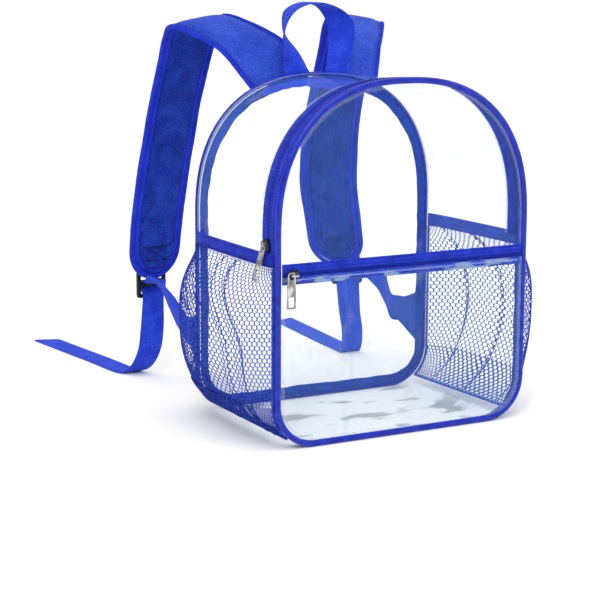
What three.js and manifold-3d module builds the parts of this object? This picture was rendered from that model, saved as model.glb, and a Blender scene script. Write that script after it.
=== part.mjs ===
// Small clear-film backpack with blue trim. Millimetres, +Z up, front towards -Y.
// The origin is the middle of the base, on the surface that the bag stands on.

import * as THREE from 'three';
import { mergeVertices } from 'three/addons/utils/BufferGeometryUtils.js';
import Module from 'manifold-3d';

const wasm = await Module();
wasm.setup();

// Bag body, measured over the piping
const BAG_WIDTH = 255.6;
const BAG_HEIGHT = 311.3;
const BAG_DEPTH = 157;
const ARCH_SPRING = 182;
const ARCH_POWER = 2.36;
const CORNER_RADIUS = 39;
const BACK_NARROWING = 3;
const BACK_DROP = 3.9;

// Film, piping and binding
const GAP = 0.3;
const FILM = 1;
const FILM_INSET = 1.2;
const FRONT_PIPING_RADIUS = 2.8;
const BACK_PIPING_RADIUS = 2;
const BINDING_THICKNESS = 1.3;
const FRONT_BINDING_WIDTH = 7;
const BACK_BINDING_WIDTH = 8;

// Zips
const TAPE_THICKNESS = 1.1;
const COIL_THICKNESS = 2.4;
const COIL_WIDTH = 4;
const MAIN_TAPE_WIDTH = 9;
const MAIN_ZIP_DROP = 16;
const POCKET_TAPE_WIDTH = 6.5;
const POCKET_ZIP_HEIGHT = 151;
const POCKET_CROWN = 5;

// Sliders and pulls
const SLIDER_LENGTH = 10;
const SLIDER_WIDTH = 8;
const SLIDER_THICKNESS = 3;
const BAIL_WIRE = 1.6;
const BAIL_TUNNEL = 2.6;
const PULL_LENGTH = 31;
const PULL_WIDTH = 8.6;
const PULL_THICKNESS = 1.3;
const PULL_EYE = 4.6;
const PULL_RIM = 1.5;
const PULL_CHAMFER_WIDTH = 1.5;
const PULL_CHAMFER_HEIGHT = 2;
const MAIN_SLIDER_RISE = 9;
const MAIN_PULL_LEAN = 16;
const POCKET_SLIDER_INSET = 14.5;

// Mesh side pockets
const NET_THICKNESS = 1.2;
const NET_FOOT = 9;
const NET_DROP = 10;
const NET_BULGE_LEFT = 32;
const NET_BULGE_RIGHT = 31;
const NET_BAND_HEIGHT = 12;
const NET_BAND_THICKNESS = 1.6;
const NET_BAND_SLACK = 3;
const NET_STANDOFF = 1.2;
const NET_ROW_GROWTH = 1.2;
const NET_COLUMNS = 7;
const NET_ROWS = 7;
const NET_HOLE_SHARE = 0.76;

// Webbing handle
const WEB_WIDTH = 25;
const WEB_THICKNESS = 1.6;
const HANDLE_RISE = 63;
const HANDLE_SPAN = 42;
const HANDLE_TUCK = 8;
const HANDLE_OFFSET = 2;

// Shoulder straps
const STRAP_WIDTH = 62;
const STRAP_THICKNESS = 7;
const STRAP_ROOT_THICKNESS = 3;
const STRAP_ROOT_X = 34;
const STRAP_ROOT_TUCK = 6;
const STRAP_SPLAY = 72;
const STRAP_REACH = 130;
const STRAP_RISE = 53;
const STRAP_DROP_LEFT = 251;
const STRAP_DROP_RIGHT = 256;
const STRAP_END_LENGTH = 30;
const STRAP_BINDING_WIDTH = 5;
const STRAP_BINDING_THICKNESS = 4.4;

// Ladder locks
const LOCK_THICKNESS = 4.5;
const LOCK_RAIL = 3.6;
const LOCK_BAR = 4;
const LOCK_SLOT = 7.5;
const LOCK_LOOP_LENGTH = 34;
const LOCK_DROP = 6;
const LOCK_SHIFT_LEFT = -3;
const LOCK_SHIFT_RIGHT = 10.5;

// Adjusting webbing and its anchor tabs
const TAB_BASE = 55;
const TAB_END = 13;
const TAB_REACH = 38;
const TAB_HEIGHT = 64;
const TAB_RISE = 5;
const TAB_TURN = 14;
const TAB_THICKNESS = 2;
const TAIL_SWING_LEFT = 34;
const TAIL_SWING_RIGHT = 14;
const TAIL_LYING = 180;
const TAIL_DRIFT = 30;

// Steps along the curves
const ARCH_STEPS = 24;
const CORNER_STEPS = 5;
const ROUND_SIDES = 8;
const STRAP_STEPS = 20;
const STRAP_END_STEPS = 8;

const V = (x, y, z) => new THREE.Vector3(x, y, z);
const FRONT_Y = -BAG_DEPTH / 2;
const BACK_Y = BAG_DEPTH / 2;

// The main zip ends below the spring of the arch, and the side pockets' nets below that end
const mainZipEnd = ARCH_SPRING - MAIN_ZIP_DROP;
const netTop = mainZipEnd - NET_DROP;

const finish = (color, roughness, metalness = 0, opacity = 1) =>
  new THREE.MeshStandardMaterial({ color, roughness, metalness, opacity, transparent: opacity < 1 });
const FILM_FINISH = () => finish(0xeef3f6, 0.12, 0, 0.3);
const PIPING_FINISH = () => finish(0x1f2fd0, 0.35);
const TAPE_FINISH = () => finish(0x1d2cc0, 0.75);
const WEB_FINISH = () => finish(0x2740d8, 0.7);
const PAD_FINISH = () => finish(0x2b3fc4, 0.85);
const NET_FINISH = () => finish(0x2a45d2, 0.6);
const PLASTIC_FINISH = () => finish(0x101114, 0.4);
const METAL_FINISH = () => finish(0x77777a, 0.3, 0.9);

// A geometry with shared vertices whose faces point outwards
function closed(geometry) {
  const bare = geometry.index ? geometry : mergeVertices(geometry);
  bare.deleteAttribute('normal');
  bare.deleteAttribute('uv');
  const merged = mergeVertices(bare, 1e-4);
  const at = merged.attributes.position;
  const index = Array.from(merged.index.array);
  const corner = (k) => new THREE.Vector3().fromBufferAttribute(at, index[k]);
  let volume = 0;
  for (let k = 0; k < index.length; k += 3) {
    volume += corner(k).dot(corner(k + 1).cross(corner(k + 2)));
  }
  if (volume < 0) {
    for (let k = 0; k < index.length; k += 3) {
      [index[k + 1], index[k + 2]] = [index[k + 2], index[k + 1]];
    }
  }
  merged.setIndex(index);
  merged.computeVertexNormals();
  return merged;
}

function fromFaces(points, faces) {
  const geometry = new THREE.BufferGeometry();
  const values = points.flatMap((p) => [p.x, p.y, p.z]);
  geometry.setAttribute('position', new THREE.Float32BufferAttribute(values, 3));
  geometry.setIndex(faces);
  return closed(geometry);
}

// A solid through convex sections of equal point counts, open with two ends or a closed ring
function loft(sections, ring = false) {
  const count = sections[0].length;
  const faces = [];
  const last = ring ? sections.length : sections.length - 1;
  for (let i = 0; i < last; i++) {
    const a = i * count;
    const b = ((i + 1) % sections.length) * count;
    for (let k = 0; k < count; k++) {
      const n = (k + 1) % count;
      faces.push(a + k, b + k, b + n, a + k, b + n, a + n);
    }
  }
  if (!ring) {
    const end = (sections.length - 1) * count;
    for (let k = 1; k < count - 1; k++) {
      faces.push(0, k, k + 1, end, end + k + 1, end + k);
    }
  }
  return fromFaces(sections.flat(), faces);
}

// A solid sheet between two grids of points, rows by columns
function sheet(front, back) {
  const rows = front.length;
  const columns = front[0].length;
  const far = rows * columns;
  const id = (r, c) => r * columns + c;
  const faces = [];
  const quad = (a, b, c, d) => faces.push(a, b, c, a, c, d);
  for (let r = 0; r < rows - 1; r++) {
    for (let c = 0; c < columns - 1; c++) {
      quad(id(r, c), id(r, c + 1), id(r + 1, c + 1), id(r + 1, c));
      quad(far + id(r, c), far + id(r + 1, c), far + id(r + 1, c + 1), far + id(r, c + 1));
    }
  }
  const rim = [];
  for (let c = 0; c < columns - 1; c++) rim.push(id(0, c));
  for (let r = 0; r < rows - 1; r++) rim.push(id(r, columns - 1));
  for (let c = columns - 1; c > 0; c--) rim.push(id(rows - 1, c));
  for (let r = rows - 1; r > 0; r--) rim.push(id(r, 0));
  for (let k = 0; k < rim.length; k++) {
    const a = rim[k];
    const b = rim[(k + 1) % rim.length];
    quad(b, a, far + a, far + b);
  }
  return fromFaces([...front.flat(), ...back.flat()], faces);
}

// A flat plate cut from an outline in X and Z, from y towards the back by its thickness
function plate(outline, y, thickness, holes = []) {
  const shape = new THREE.Shape(outline);
  shape.holes = holes.map((hole) => new THREE.Path(hole));
  const geometry = new THREE.ExtrudeGeometry(shape, { depth: thickness, bevelEnabled: false });
  geometry.rotateX(Math.PI / 2);
  geometry.translate(0, y + thickness, 0);
  return closed(geometry);
}

const rectangle = (x0, z0, x1, z1) => [
  new THREE.Vector2(x0, z0),
  new THREE.Vector2(x1, z0),
  new THREE.Vector2(x1, z1),
  new THREE.Vector2(x0, z1),
];

function toManifold(geometry) {
  const mesh = new wasm.Mesh({
    numProp: 3,
    vertProperties: new Float32Array(geometry.attributes.position.array),
    triVerts: new Uint32Array(geometry.index.array),
  });
  return new wasm.Manifold(mesh);
}

function joined(geometries) {
  const mesh = geometries.map(toManifold).reduce((whole, part) => whole.add(part)).getMesh();
  const geometry = new THREE.BufferGeometry();
  geometry.setAttribute('position', new THREE.BufferAttribute(new Float32Array(mesh.vertProperties), 3));
  geometry.setIndex(new THREE.BufferAttribute(new Uint32Array(mesh.triVerts), 1));
  return closed(geometry);
}

// Outline of the bag at a depth, inset from its outermost line. The back is a little smaller.
function frameAt(inset, y) {
  const share = (y - FRONT_Y) / BAG_DEPTH;
  return {
    half: BAG_WIDTH / 2 - inset - BACK_NARROWING * share,
    top: BAG_HEIGHT - inset - BACK_DROP * share,
  };
}

const power = (value, exponent) => Math.sign(value) * Math.abs(value) ** exponent;

function archLine(inset, y, end = mainZipEnd) {
  const { half, top } = frameAt(inset, y);
  const line = [V(-half, y, end)];
  for (let i = 0; i <= ARCH_STEPS; i++) {
    const turn = Math.PI * (1 - i / ARCH_STEPS);
    const x = half * power(Math.cos(turn), 2 / ARCH_POWER);
    const z = ARCH_SPRING + (top - ARCH_SPRING) * power(Math.sin(turn), 2 / ARCH_POWER);
    line.push(V(x, y, z));
  }
  line.push(V(half, y, end));
  return line;
}

// The height of the back seam's outer line above a place across the bag
function backSeamHeight(x) {
  const { half, top } = frameAt(0, BACK_Y);
  const share = 1 - (Math.abs(x) / half) ** ARCH_POWER;
  return ARCH_SPRING + (top - ARCH_SPRING) * share ** (1 / ARCH_POWER);
}

function baseLine(inset, y, floor = inset, end = mainZipEnd) {
  const { half } = frameAt(inset, y);
  const radius = CORNER_RADIUS - inset;
  const line = [V(half, y, end)];
  for (const side of [1, -1]) {
    const corner = [];
    for (let i = 0; i <= CORNER_STEPS; i++) {
      const turn = (Math.PI / 2) * (i / CORNER_STEPS);
      const x = side * (half - radius + radius * Math.cos(turn));
      corner.push(V(x, y, floor + radius - radius * Math.sin(turn)));
    }
    line.push(...(side > 0 ? corner : corner.reverse()));
  }
  line.push(V(-half, y, end));
  return line;
}

const fullLine = (inset, y, floor = inset) => [
  ...archLine(inset, y),
  ...baseLine(inset, y, floor).slice(1, -1),
];

const flat = (line) => line.map((p) => new THREE.Vector2(p.x, p.z));

// A band that follows the bag's outline: line gives its points for an inset and a depth
function band(line, y0, y1, outer, inner, ring = false) {
  const corners = [line(outer, y0), line(outer, y1), line(inner, y1), line(inner, y0)];
  return loft(corners[0].map((_, i) => corners.map((corner) => corner[i])), ring);
}

function piping(radius, y) {
  const lines = [];
  for (let k = 0; k < ROUND_SIDES; k++) {
    const turn = (2 * Math.PI * k) / ROUND_SIDES;
    lines.push(fullLine(radius * (1 - Math.cos(turn)), y + radius * Math.sin(turn)));
  }
  return loft(lines[0].map((_, i) => lines.map((line) => line[i])), true);
}

const part = new THREE.Group();
function piece(name, geometry, material, parent = part) {
  const mesh = new THREE.Mesh(geometry, material);
  mesh.name = name;
  parent.add(mesh);
  return mesh;
}

// Film panels, piping and binding
const PANEL_INSET = 2 * FRONT_PIPING_RADIUS + GAP;
const PANEL_Y = FRONT_Y - FILM / 2;
const GUSSET_FRONT = FRONT_Y + FRONT_PIPING_RADIUS + GAP;
const GUSSET_BACK = BACK_Y - BACK_PIPING_RADIUS - GAP;

piece('front_piping', piping(FRONT_PIPING_RADIUS, FRONT_Y), PIPING_FINISH());
piece('back_piping', piping(BACK_PIPING_RADIUS, BACK_Y), PIPING_FINISH());
piece('front_panel', plate(flat(fullLine(PANEL_INSET, FRONT_Y)), PANEL_Y, FILM), FILM_FINISH());
piece(
  'back_panel',
  plate(flat(fullLine(2 * BACK_PIPING_RADIUS + GAP, BACK_Y)), BACK_Y - FILM / 2, FILM),
  FILM_FINISH(),
);

// The front binding lies under the zip tape and the base film, the back one inside the back panel
const seamLine = (inset, y) => fullLine(inset, y, inset - FILM_INSET);
const frontBindingInset = FILM_INSET + TAPE_THICKNESS + GAP;
piece(
  'front_binding',
  band(
    seamLine,
    GUSSET_FRONT,
    GUSSET_FRONT + FRONT_BINDING_WIDTH,
    frontBindingInset,
    frontBindingInset + BINDING_THICKNESS,
    true,
  ),
  TAPE_FINISH(),
);
const backBindingY = BACK_Y - FILM / 2 - GAP - BINDING_THICKNESS;
const backBindingInset = 2 * BACK_PIPING_RADIUS + GAP;
piece(
  'back_binding',
  band(
    fullLine,
    backBindingY,
    backBindingY + BINDING_THICKNESS,
    backBindingInset,
    backBindingInset + BACK_BINDING_WIDTH,
    true,
  ),
  TAPE_FINISH(),
);

// The main zip over the arch, and the film behind and below it
const coilFront = GUSSET_FRONT + MAIN_TAPE_WIDTH + GAP;
const rearTapeFront = coilFront + COIL_WIDTH + GAP;
const topFilmFront = rearTapeFront + MAIN_TAPE_WIDTH + GAP;
const tapeBand = (y0, y1, thickness) => band(archLine, y0, y1, FILM_INSET, FILM_INSET + thickness);
piece('main_zip_tape_front', tapeBand(GUSSET_FRONT, coilFront - GAP, TAPE_THICKNESS), TAPE_FINISH());
piece('main_zip_coil', tapeBand(coilFront, rearTapeFront - GAP, COIL_THICKNESS), TAPE_FINISH());
piece('main_zip_tape_rear', tapeBand(rearTapeFront, topFilmFront - GAP, TAPE_THICKNESS), TAPE_FINISH());
piece('gusset_top', tapeBand(topFilmFront, GUSSET_BACK, FILM), FILM_FINISH());
const lowerLine = (inset, y) => baseLine(inset, y, inset - FILM_INSET, mainZipEnd - GAP);
const lowerBand = band(lowerLine, GUSSET_FRONT, GUSSET_BACK, FILM_INSET, FILM_INSET + FILM);
piece('gusset_lower', lowerBand, FILM_FINISH());

// The front pocket: zip tapes lie on the front panel, and the pocket film hangs over the lower one
const tapeY = PANEL_Y - GAP - TAPE_THICKNESS;
const pocketFilmY = tapeY - GAP - FILM;
const coilTop = POCKET_ZIP_HEIGHT + COIL_WIDTH / 2;
const coilFoot = POCKET_ZIP_HEIGHT - COIL_WIDTH / 2;
const zipHalf = frameAt(PANEL_INSET, FRONT_Y).half - GAP;
const coilY = PANEL_Y - GAP - COIL_THICKNESS;
const zipStrip = (low, high, y, thickness) => plate(rectangle(-zipHalf, low, zipHalf, high), y, thickness);
const upperTapeFoot = coilTop + GAP;
const lowerTapeTop = coilFoot - GAP;
const upperTape = zipStrip(upperTapeFoot, upperTapeFoot + POCKET_TAPE_WIDTH, tapeY, TAPE_THICKNESS);
const lowerTape = zipStrip(lowerTapeTop - POCKET_TAPE_WIDTH, lowerTapeTop, tapeY, TAPE_THICKNESS);
piece('pocket_zip_tape_upper', upperTape, TAPE_FINISH());
piece('pocket_zip_coil', zipStrip(coilFoot, coilTop, coilY, COIL_THICKNESS), TAPE_FINISH());
piece('pocket_zip_tape_lower', lowerTape, TAPE_FINISH());

function pocketPanel() {
  const rows = 9;
  const columns = 10;
  const foot = PANEL_INSET;
  const top = coilFoot - GAP;
  const radius = CORNER_RADIUS - PANEL_INSET;
  const front = [];
  const back = [];
  for (let r = 0; r <= rows; r++) {
    const rise = (r / rows) ** 1.5;
    const z = foot + (top - foot) * rise;
    const below = Math.max(0, 1 - (z - foot) / radius);
    const half = frameAt(PANEL_INSET, FRONT_Y).half - radius * (1 - Math.sqrt(1 - below ** 2));
    const line = [];
    for (let c = 0; c <= columns; c++) {
      const across = (2 * c) / columns - 1;
      const bulge = Math.max(0, Math.sin(Math.PI * rise ** 0.8)) ** 0.8;
      line.push(V(half * across, pocketFilmY - POCKET_CROWN * (1 - across ** 4) * bulge, z));
    }
    front.push(line);
    back.push(line.map((p) => V(p.x, p.y + FILM, p.z)));
  }
  return sheet(front, back);
}
piece('pocket_panel', pocketPanel(), FILM_FINISH());

// A zip slider lies along X with its bail standing out towards -Y; its back is at y 0
function sliderBody() {
  const half = SLIDER_LENGTH / 2;
  const nose = SLIDER_WIDTH * 0.3;
  const outline = [
    [-half, -nose],
    [-half * 0.3, -SLIDER_WIDTH / 2],
    [half, -SLIDER_WIDTH / 2],
    [half, SLIDER_WIDTH / 2],
    [-half * 0.3, SLIDER_WIDTH / 2],
    [-half, nose],
  ].map(([x, z]) => new THREE.Vector2(x, z));
  const body = plate(outline, -SLIDER_THICKNESS, SLIDER_THICKNESS);
  const reach = half * 0.8;
  const crest = SLIDER_THICKNESS + BAIL_TUNNEL;
  const arch = [
    [-reach, SLIDER_THICKNESS - 0.5],
    [-reach, crest + BAIL_WIRE * 0.4],
    [-reach + BAIL_WIRE, crest + BAIL_WIRE],
    [reach - BAIL_WIRE, crest + BAIL_WIRE],
    [reach, crest + BAIL_WIRE * 0.4],
    [reach, SLIDER_THICKNESS - 0.5],
    [reach - BAIL_WIRE, SLIDER_THICKNESS - 0.5],
    [reach - BAIL_WIRE, crest],
    [-reach + BAIL_WIRE, crest],
    [-reach + BAIL_WIRE, SLIDER_THICKNESS - 0.5],
  ].map(([x, z]) => new THREE.Vector2(x, z));
  const bail = plate(arch, -BAIL_WIRE / 2, BAIL_WIRE);
  bail.rotateX(Math.PI / 2);
  return joined([body, closed(bail)]);
}

// A pull tab hangs down from the middle of its top bar, which is at the origin
function pullTab() {
  const half = PULL_WIDTH / 2;
  const top = PULL_RIM / 2;
  const foot = top - PULL_LENGTH;
  const outline = [
    [-half + PULL_CHAMFER_WIDTH, top],
    [-half, top - PULL_CHAMFER_HEIGHT],
    [-half, foot],
    [half, foot],
    [half, top - PULL_CHAMFER_HEIGHT],
    [half - PULL_CHAMFER_WIDTH, top],
  ].map(([x, z]) => new THREE.Vector2(x, z));
  const inner = half - PULL_RIM;
  const eye = rectangle(-inner, top - PULL_RIM - PULL_EYE, inner, top - PULL_RIM);
  const window = rectangle(-inner, foot + PULL_RIM, inner, foot + PULL_RIM + PULL_WIDTH);
  return plate(outline, -PULL_THICKNESS / 2, PULL_THICKNESS, [eye, window]);
}

const tunnelDepth = SLIDER_THICKNESS + BAIL_TUNNEL / 2;
const postPlace = (SLIDER_LENGTH / 2) * 0.8 - BAIL_WIRE / 2;
const postCorner = BAIL_WIRE * Math.SQRT1_2;

// The main slider sits at the left end of the coil, its pull hanging along the zip
const mainSliderPlace = new THREE.Group();
mainSliderPlace.position.set(
  -(frameAt(FILM_INSET, coilFront).half + GAP),
  coilFront + COIL_WIDTH / 2,
  mainZipEnd + MAIN_SLIDER_RISE,
);
mainSliderPlace.rotation.set(0, Math.PI / 2, -Math.PI / 2, 'ZYX');
part.add(mainSliderPlace);
piece('main_slider', sliderBody(), METAL_FINISH(), mainSliderPlace);

const mainPullPlace = new THREE.Group();
mainPullPlace.position.set(
  mainSliderPlace.position.x - tunnelDepth,
  mainSliderPlace.position.y,
  mainSliderPlace.position.z - postPlace + postCorner + GAP + PULL_RIM / 2,
);
mainPullPlace.rotation.set(-THREE.MathUtils.degToRad(MAIN_PULL_LEAN), 0, -Math.PI / 2, 'ZYX');
part.add(mainPullPlace);
piece('main_pull', pullTab(), METAL_FINISH(), mainPullPlace);

// The front slider sits at the left end of the pocket zip, its pull hanging on the left post of the bail
const frontSliderPlace = new THREE.Group();
frontSliderPlace.position.set(-BAG_WIDTH / 2 + POCKET_SLIDER_INSET, coilY - GAP, POCKET_ZIP_HEIGHT);
part.add(frontSliderPlace);
piece('front_slider', sliderBody(), METAL_FINISH(), frontSliderPlace);

const frontPullPlace = new THREE.Group();
frontPullPlace.position.set(
  frontSliderPlace.position.x - postPlace,
  frontSliderPlace.position.y - tunnelDepth,
  frontSliderPlace.position.z + postCorner + GAP + PULL_RIM / 2,
);
part.add(frontPullPlace);
piece('front_pull', pullTab(), METAL_FINISH(), frontPullPlace);

// The gusset's outer face on one side, at a height and a depth
function gussetX(z, y) {
  const { half } = frameAt(FILM_INSET, y);
  const radius = CORNER_RADIUS - FILM_INSET;
  const below = Math.max(0, 1 - z / radius);
  return half - radius * (1 - Math.sqrt(1 - below ** 2));
}

const SIDES = [
  {
    name: 'left',
    sign: -1,
    out: 'outLeft',
    bulge: NET_BULGE_LEFT,
    strapDrop: STRAP_DROP_LEFT,
    lockShift: LOCK_SHIFT_LEFT,
    tailSwing: TAIL_SWING_LEFT,
  },
  {
    name: 'right',
    sign: 1,
    out: 'outRight',
    bulge: NET_BULGE_RIGHT,
    strapDrop: STRAP_DROP_RIGHT,
    lockShift: LOCK_SHIFT_RIGHT,
    tailSwing: TAIL_SWING_RIGHT,
  },
];

// The mesh pocket: hexagonal holes in a sheet that bulges out of the side
const netFront = GUSSET_FRONT + GAP;
const netBack = GUSSET_BACK - GAP;
function netPoint(side, across, up, lift) {
  const z = NET_FOOT + (netTop - NET_FOOT) * up ** NET_ROW_GROWTH;
  const y = netFront + (netBack - netFront) * across;
  const swell = 1 - Math.abs(2 * up ** (1.31 * NET_ROW_GROWTH) - 1) ** 2.9;
  const fill = 1 - Math.abs(2 * across - 1) ** 5;
  const slack = NET_BAND_SLACK * fill * up ** 4;
  return V(side.sign * (gussetX(z, y) + NET_STANDOFF + lift + side.bulge * swell * fill + slack), y, z);
}

function net(side) {
  const points = [];
  const faces = [];
  const known = new Map();
  const outer = (across, up, layer) => {
    const key = [across.toFixed(5), up.toFixed(5), layer].join();
    if (!known.has(key)) {
      known.set(key, points.length);
      points.push(netPoint(side, across, up, layer * NET_THICKNESS));
    }
    return known.get(key);
  };
  const edges = new Map();
  const addFace = (a, b, c, layer) => faces.push(...(layer ? [a, b, c] : [a, c, b]));
  const wall = (a0, b0, a1, b1) => faces.push(a0, b1, b0, a0, a1, b1);
  for (let row = 0; row < NET_ROWS; row++) {
    const shifted = row % 2 === 1;
    const count = shifted ? NET_COLUMNS + 1 : NET_COLUMNS;
    for (let column = 0; column < count; column++) {
      const from = Math.max(0, (column - (shifted ? 0.5 : 0)) / NET_COLUMNS);
      const to = Math.min(1, (column + (shifted ? 0.5 : 1)) / NET_COLUMNS);
      const low = row / NET_ROWS;
      const high = (row + 1) / NET_ROWS;
      const halfCell = shifted && (column === 0 || column === count - 1);
      const middle = (from + to) / 2;
      const rim = halfCell
        ? [[from, low], [to, low], [to, high], [from, high]]
        : [[from, low], [middle, low], [to, low], [to, high], [middle, high], [from, high]];
      const centre = [middle, (low + high) / 2];
      for (const layer of [0, 1]) {
        const ids = rim.map(([a, u]) => outer(a, u, layer));
        if (halfCell) {
          for (let k = 1; k < ids.length - 1; k++) addFace(ids[0], ids[k], ids[k + 1], layer);
        } else {
          const hole = rim.map(([a, u], k) => {
            const wide = k % 3 === 1 ? 0 : NET_HOLE_SHARE;
            const tall = k % 3 === 1 ? NET_HOLE_SHARE : NET_HOLE_SHARE * 0.5;
            return [centre[0] + (a - centre[0]) * wide, centre[1] + (u - centre[1]) * tall];
          });
          const holeIds = hole.map(([a, u]) => outer(a, u, layer));
          for (let k = 0; k < ids.length; k++) {
            const n = (k + 1) % ids.length;
            addFace(ids[k], ids[n], holeIds[n], layer);
            addFace(ids[k], holeIds[n], holeIds[k], layer);
          }
          if (layer) {
            const inner = hole.map(([a, u]) => outer(a, u, 0));
            for (let k = 0; k < ids.length; k++) {
              const n = (k + 1) % ids.length;
              wall(holeIds[n], holeIds[k], inner[n], inner[k]);
            }
          }
        }
        if (layer) {
          for (let k = 0; k < ids.length; k++) {
            const n = (k + 1) % ids.length;
            edges.set([ids[k], ids[n]].join(), [rim[k], rim[n]]);
          }
        }
      }
    }
  }
  for (const [key, [start, end]] of edges) {
    const [a, b] = key.split(',').map(Number);
    if (!edges.has([b, a].join())) {
      wall(a, b, outer(start[0], start[1], 0), outer(end[0], end[1], 0));
    }
  }
  return fromFaces(points, faces);
}

function netBand(side) {
  const columns = 12;
  const front = [];
  const back = [];
  for (const up of [0, 1]) {
    const z = netTop + GAP + NET_BAND_HEIGHT * up;
    const line = [];
    for (let c = 0; c <= columns; c++) {
      const across = c / columns;
      const y = netFront + (netBack - netFront) * across;
      const fill = 1 - Math.abs(2 * across - 1) ** 5;
      line.push(V(side.sign * (gussetX(z, y) + GAP + NET_BAND_SLACK * fill), y, z));
    }
    front.push(line);
    back.push(line.map((p) => V(p.x + side.sign * NET_BAND_THICKNESS, p.y, p.z)));
  }
  return sheet(front, back);
}

// A ribbon along a line of places, each with its own direction across
function ribbon(places, width, thickness) {
  const sections = places.map((place, i) => {
    const before = places[Math.max(0, i - 1)].at;
    const after = places[Math.min(places.length - 1, i + 1)].at;
    const along = after.clone().sub(before).normalize();
    const normal = along.clone().cross(place.across).normalize();
    const corner = (u, v) =>
      place.at
        .clone()
        .addScaledVector(place.across, (u * width) / 2)
        .addScaledVector(normal, (v * thickness) / 2);
    return [corner(-1, -1), corner(1, -1), corner(1, 1), corner(-1, 1)];
  });
  return loft(sections);
}

// Smooth places through chosen ones, with the direction across turning evenly between them
function smoothPlaces(rows, steps) {
  const curve = new THREE.CatmullRomCurve3(rows.map((row) => row.at), false, 'centripetal');
  const places = [];
  for (let i = 0; i <= steps; i++) {
    const t = i / steps;
    const spot = t * (rows.length - 1);
    const k = Math.min(rows.length - 2, Math.floor(spot));
    const across = rows[k].across.clone().lerp(rows[k + 1].across, spot - k).normalize();
    places.push({ at: curve.getPoint(t), across });
  }
  return places;
}

// The handle: shares of its span and rise, and the turn of the webbing
const HANDLE_ROWS = [
  { out: -0.5, up: 0, back: 0, turn: 0 },
  { out: -0.54, up: 0.17, back: 0, turn: 0 },
  { out: -0.64, up: 0.36, back: 0, turn: 26 },
  { out: -0.8, up: 0.62, back: 0.02, turn: 62 },
  { out: -0.66, up: 0.88, back: 0.05, turn: 84 },
  { out: -0.2, up: 1, back: 0.07, turn: 92 },
  { out: 0.3, up: 0.95, back: 0.06, turn: 108 },
  { out: 0.62, up: 0.76, back: 0.04, turn: 146 },
  { out: 0.64, up: 0.48, back: 0.02, turn: 172 },
  { out: 0.54, up: 0.2, back: 0, turn: 180 },
  { out: 0.46, up: 0, back: 0, turn: 180 },
];
const handleY = BACK_Y + BACK_PIPING_RADIUS + GAP + WEB_THICKNESS / 2;
function handle() {
  const foot = backSeamHeight(HANDLE_SPAN / 2) - HANDLE_TUCK;
  const rise = HANDLE_RISE + HANDLE_TUCK;
  const rows = HANDLE_ROWS.map((row) => {
    const turn = THREE.MathUtils.degToRad(row.turn);
    return {
      at: V(HANDLE_OFFSET + row.out * HANDLE_SPAN, handleY + row.back * rise, foot + row.up * rise),
      across: V(Math.cos(turn), Math.sin(turn), 0),
    };
  });
  return ribbon(smoothPlaces(rows, 34), WEB_WIDTH, WEB_THICKNESS);
}
piece('handle', handle(), WEB_FINISH());

// Shoulder straps: up from the back seam to a crest, then down behind the bag.
// rise is a share of the height from seam to crest, fall a share of the drop from crest to tip.
const STRAP_ROWS = [
  { rise: 0, fall: 0, outLeft: 0, outRight: 0.05, back: 0, yaw: 0, tilt: 11, wide: 1.04 },
  { rise: 0.57, fall: 0, outLeft: 0.24, outRight: 0.3, back: 0.15, yaw: 10, tilt: 5, wide: 1.1 },
  { rise: 0.87, fall: 0, outLeft: 0.5, outRight: 0.55, back: 0.35, yaw: 4, tilt: 7, wide: 1.06 },
  { rise: 1, fall: 0, outLeft: 0.7, outRight: 0.74, back: 0.54, yaw: -4, tilt: 9, wide: 1.02 },
  { rise: 1, fall: 0.045, outLeft: 0.7, outRight: 0.77, back: 0.65, yaw: -5, tilt: 7, wide: 0.98 },
  { rise: 1, fall: 0.13, outLeft: 0.7, outRight: 0.8, back: 0.74, yaw: -6, tilt: 4, wide: 0.96 },
  { rise: 1, fall: 0.23, outLeft: 0.72, outRight: 0.8, back: 0.82, yaw: -8, tilt: 2, wide: 0.95 },
  { rise: 1, fall: 0.33, outLeft: 0.72, outRight: 0.83, back: 0.92, yaw: -9, tilt: 0, wide: 0.96 },
  { rise: 1, fall: 0.44, outLeft: 0.74, outRight: 0.83, back: 0.98, yaw: -10, tilt: 0, wide: 0.98 },
  { rise: 1, fall: 0.55, outLeft: 0.8, outRight: 0.82, back: 1, yaw: -11, tilt: 0, wide: 1 },
  { rise: 1, fall: 0.67, outLeft: 0.87, outRight: 0.82, back: 1, yaw: -11, tilt: 0, wide: 1 },
  { rise: 1, fall: 0.79, outLeft: 0.93, outRight: 0.89, back: 1, yaw: -11, tilt: 0, wide: 0.98 },
  { rise: 1, fall: 0.9, outLeft: 0.965, outRight: 0.95, back: 1, yaw: -11, tilt: 0, wide: 0.96 },
  { rise: 1, fall: 1, outLeft: 0.99, outRight: 1.02, back: 1, yaw: -11, tilt: 0, wide: 0.96 },
];
const strapRootY = handleY + WEB_THICKNESS / 2 + GAP + STRAP_ROOT_THICKNESS / 2;

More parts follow.
